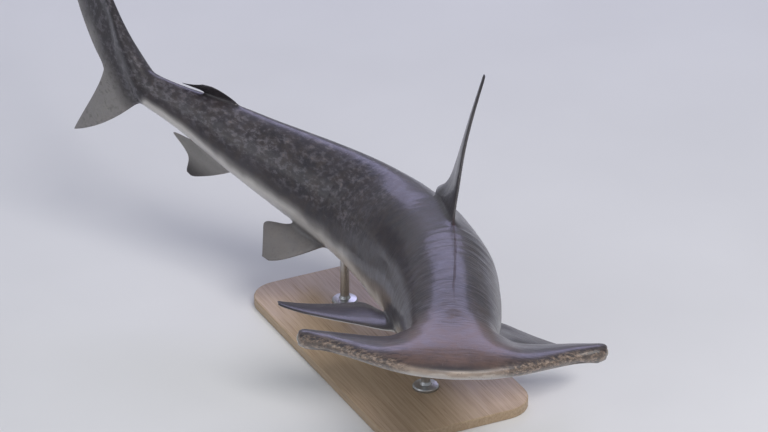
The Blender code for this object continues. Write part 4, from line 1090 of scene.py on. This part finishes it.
def board_material():
    """Light oak: long fine grain, a few broad figure bands, open pores."""
    mat, nt, bsdf = nodes_of("stand_board")
    n = Net(nt)
    co = n.new("ShaderNodeTexCoord").outputs["Object"]
    turn = n.new("ShaderNodeMapping")
    turn.inputs["Rotation"].default_value = (0, 0, -math.radians(90 + 26.0))
    n.wire(co, turn.inputs["Vector"])
    along = turn.outputs[0]
    figure = n.noise(along, 2.4, 3.0, .55, stretch=(.45, 3.2, 3.2))
    grain = n.noise(along, 26.0, 4.0, .62, stretch=(.10, 5.0, 5.0))
    pores = n.noise(along, 95.0, 2.0, .6, stretch=(.09, 5.0, 5.0))
    wood = n.ramp(grain, (.30, (.370, .262, .165)), (.50, (.455, .335, .220)), (.70, (.520, .395, .270)))
    wood = n.mix(n.ramp(figure, (.38, 0.0), (.66, .38)), wood, (.345, .235, .142))
    wood = n.mix(n.ramp(pores, (.58, 0.0), (.68, .50)), wood, (.190, .120, .068))
    n.wire(wood, bsdf.inputs["Base Color"])
    n.wire(n.ramp(pores, (.4, .36), (.68, .55)), bsdf.inputs["Roughness"])
    n.wire(n.bump(pores, .30, .0003), bsdf.inputs["Normal"])
    return mat


def steel_material():
    mat, nt, bsdf = nodes_of("stand_steel")
    n = Net(nt)
    co = n.new("ShaderNodeTexCoord").outputs["Object"]
    brush = n.noise(co, 40.0, 3.0, .6, stretch=(.35, .35, 26.0))
    n.wire(n.ramp(brush, (.3, (.46, .47, .48)), (.7, (.58, .59, .60))), bsdf.inputs["Base Color"])
    bsdf.inputs["Metallic"].default_value = 1.0
    n.wire(n.ramp(brush, (.3, .28), (.7, .38)), bsdf.inputs["Roughness"])
    n.wire(n.bump(brush, .05, .0002), bsdf.inputs["Normal"])
    return mat


def floor_material():
    mat, nt, bsdf = nodes_of("studio_floor")
    n = Net(nt)
    co = n.new("ShaderNodeTexCoord").outputs["Object"]
    n.wire(n.ramp(n.noise(co, 1.2, 3.0, .5), (.3, (.70, .70, .705)), (.7, (.745, .745, .75))), bsdf.inputs["Base Color"])
    bsdf.inputs["Roughness"].default_value = .75
    return mat


# ---------------------------------------------------------------- eyes and teeth
def frame_point(tab, x, y, z):
    P, L, T, U = frame_at(tab, y)
    return Vector(P + L * x + U * z) + NOSE


def make_eyes(tab, mat):
    for side, sg in (("left", 1), ("right", -1)):
        P, L, T, U = frame_at(tab, EYE_Y)
        turn = Matrix((Vector(L) * sg, Vector(T), Vector(U))).transposed()
        centre = frame_point(tab, sg * EYE_X, EYE_Y, WING_Z(HALF_HEAD) + .0015)
        rings, seg = 40, 56
        verts, iris, polar = [], [], []
        for r in range(rings + 1):
            a = math.pi * r / rings
            for q in range(seg):
                b = 2 * math.pi * q / seg
                ux, uy, uz = math.cos(a), math.sin(a) * math.cos(b), math.sin(a) * math.sin(b)
                swell = 1 + .035 * smooth((ux - .62) / .38)          # the clear front bulges a little
                verts.append((ux * EYE_RX * swell, uy * EYE_RYZ, uz * EYE_RYZ))
                pr = math.hypot(uy / .62, uz / .86) if ux > 0 else 3.0
                rim = math.hypot(uy, uz) / .80 if ux > 0 else 3.0
                # the pupil is a soft upright oval, the iris round it nearly fills the opening
                f = min(1.0, .44 * pr / .52) if pr < .52 else .44 + .56 * smooth((rim - .40) / .60) if rim > .40 else .46
                iris.append(f)
                polar.append((b / (2 * math.pi) * 6, rim, 0))
        faces = []
        for r in range(rings):
            for q in range(seg):
                a, b = r * seg + q, r * seg + (q + 1) % seg
                c, d = (r + 1) * seg + (q + 1) % seg, (r + 1) * seg + q
                faces.append((a, d, c, b))
        me = bpy.data.meshes.new("eyeball_" + side)
        me.from_pydata(verts, [], faces)
        put(me, "iris", iris)
        put_vec(me, "polar", polar)
        bm = bmesh.new()
        bm.from_mesh(me)
        bmesh.ops.remove_doubles(bm, verts=bm.verts[:], dist=1e-6)
        bm.transform(Matrix.Translation(centre) @ turn.to_4x4())
        bmesh.ops.recalc_face_normals(bm, faces=bm.faces[:])
        bm.to_mesh(me)
        bm.free()
        me.shade_smooth()
        me.materials.append(mat)
        ob = link("eyeball_" + side, me)
        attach(ob, "root")
        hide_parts("eye_" + side)


TOOTH = [(-3.1, 0), (3.1, 0), (3.3, 1.3), (1.7, 2.1), (2.7, 6.6), (-1.6, 2.9), (-3.3, 1.5)]     # mm, leaning to the corner of the mouth


def make_teeth(tab, mat):
    """A row of small oblique teeth in each jaw, behind the lips."""
    for jaw, front in (("upper", -1), ("lower", 1)):
        verts, faces = [], []
        x, places = 0.0, []
        while x < .084:
            places += [x] if x == 0 else [x, -x]
            slope = (mouth_y(x + .0005) - mouth_y(x - .0005)) / .001
            x += .0066 / math.hypot(1, slope)
        for n, x in enumerate(places):
            slope = (mouth_y(x + .0005) - mouth_y(x - .0005)) / .001
            lean = 1 if x >= 0 else -1
            u = np.array([1, slope, 0]) / math.hypot(1, slope) * lean       # along the jaw, to the corner
            out = np.array([-slope, 1, 0]) / math.hypot(1, slope)           # from the upper jaw to the lower
            size = (.98 - .34 * abs(x) / .084) * (1 + .07 * math.sin(n * 2.4)) * (1 if front < 0 else .86)
            here = np.array([x, mouth_y(x), head_z(x, mouth_y(x), -1)])
            if front < 0:
                base, rise = here - out * .0040 + (0, 0, .0068), np.array([0, 0, -1]) + .16 * out
            else:
                base, rise = here + out * .0044 + (0, 0, .0022), np.array([0, 0, 1]) - .45 * out
            rise = rise / np.linalg.norm(rise)
            face = np.cross(u, rise)
            a = len(verts)
            ring = [base + (u * p * (1.0 if front < 0 else .8) + rise * q) * size * .001 for p, q in TOOTH]
            verts += ring + [base + (rise * 1.9 + u * .2 + face * 1.05) * size * .001, base + (rise * 1.9 + u * .2 - face * .75) * size * .001]
            m = len(TOOTH)
            for k in range(m):
                faces.append((a + k, a + (k + 1) % m, a + m))
                faces.append((a + (k + 1) % m, a + k, a + m + 1))
        me = bpy.data.meshes.new("teeth_" + jaw)
        me.from_pydata([tuple(frame_point(tab, *v)) for v in verts], [], faces)
        bm = bmesh.new()
        bm.from_mesh(me)
        bmesh.ops.recalc_face_normals(bm, faces=bm.faces[:])
        bm.to_mesh(me)
        bm.free()
        me.materials.append(mat)
        ob = link("teeth_" + jaw, me)
        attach(ob, "root")


# ---------------------------------------------------------------- making it all
tab = spine()
skin_me = make_skin()
shape_skin(skin_me)
paint_skin(skin_me)
skin_me.shade_smooth()
skin_me.materials.append(skin_material())
skin = link("shark_skin", skin_me)
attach(skin, "root")
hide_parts(*FLESH)
make_eyes(tab, eye_material())
make_teeth(tab, tooth_material())

board, steel = board_material(), steel_material()
for node, mat in (("stand_base", board), ("stand_rod_front", steel), ("stand_rod_rear", steel)):
    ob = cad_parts[node]
    ob.data.materials.clear()
    ob.data.materials.append(mat)

# ---------------------------------------------------------------- studio
me = bpy.data.meshes.new("studio_floor")
ring = [(60 * math.cos(math.radians(k * 5)), 60 * math.sin(math.radians(k * 5)), 0) for k in range(72)]
me.from_pydata(ring, [], [list(range(72))])
me.materials.append(floor_material())
floor = link("studio_floor", me)


def area(name, at, aim, size, power, colour, size_y=None):
    lamp = bpy.data.lights.new(name, "AREA")
    lamp.shape = "RECTANGLE"
    lamp.size, lamp.size_y = size, size_y or size
    lamp.energy = power
    lamp.color = colour
    ob = bpy.data.objects.new(name, lamp)
    bpy.context.scene.collection.objects.link(ob)
    ob.location = at
    ob.rotation_euler = (Vector(aim) - Vector(at)).to_track_quat("-Z", "Y").to_euler()
    ob.visible_camera = False
    return ob


# a wide panel high behind the animal puts the long pale sheen on its back, as the sky does
area("back_panel", (.2, 6.2, 4.0), (.1, -.4, .5), 5.4, 110, (.64, .61, 1.0), 2.6)
area("top", (1.8, -2.6, 5.4), (0, 0, .4), 3.4, 215, (1.0, .97, .94))
area("fill", (-4.4, -2.4, 3.4), (0, 0, .4), 3.4, 40, (.92, .95, 1.0))

# even surrounding light, a little dimmer at the horizon, where it equals the lit floor
world = bpy.data.worlds.new("studio")
bpy.context.scene.world = world
world.use_nodes = True
wn = Net(world.node_tree)
ground = world.node_tree.nodes["Background"]
split = wn.new("ShaderNodeSeparateXYZ")
wn.wire(wn.new("ShaderNodeTexCoord").outputs["Generated"], split.inputs[0])
wn.wire(wn.ramp(split.outputs["Z"], (0.0, (.69, .71, .74)), (1.0, (.90, .97, 1.08))), ground.inputs[0])
ground.inputs[1].default_value = .42

# ---------------------------------------------------------------- camera, at the photo's angle
ELEVATION, AWAY, SCALE = math.radians(28.0), 14.0, 382.0     # downward look, distance to the snout, pixels per metre there
look = Vector((0, math.cos(ELEVATION), -math.sin(ELEVATION)))
right = Vector((1, 0, 0))
up = right.cross(look)
cam_data = bpy.data.cameras.new("camera")
cam_data.sensor_width = 36.0
cam_data.lens = SCALE * AWAY / 768 * 36.0
cam_data.clip_end = 200
cam = bpy.data.objects.new("camera", cam_data)
bpy.context.scene.collection.objects.link(cam)
focal = SCALE * AWAY
cam.location = NOSE - look * AWAY - right * ((453 - 384) / focal * AWAY) + up * ((376 - 216) / focal * AWAY)
cam.rotation_euler = look.to_track_quat("-Z", "Y").to_euler()
bpy.context.scene.camera = cam
bpy.context.scene.view_settings.view_transform = "Standard"
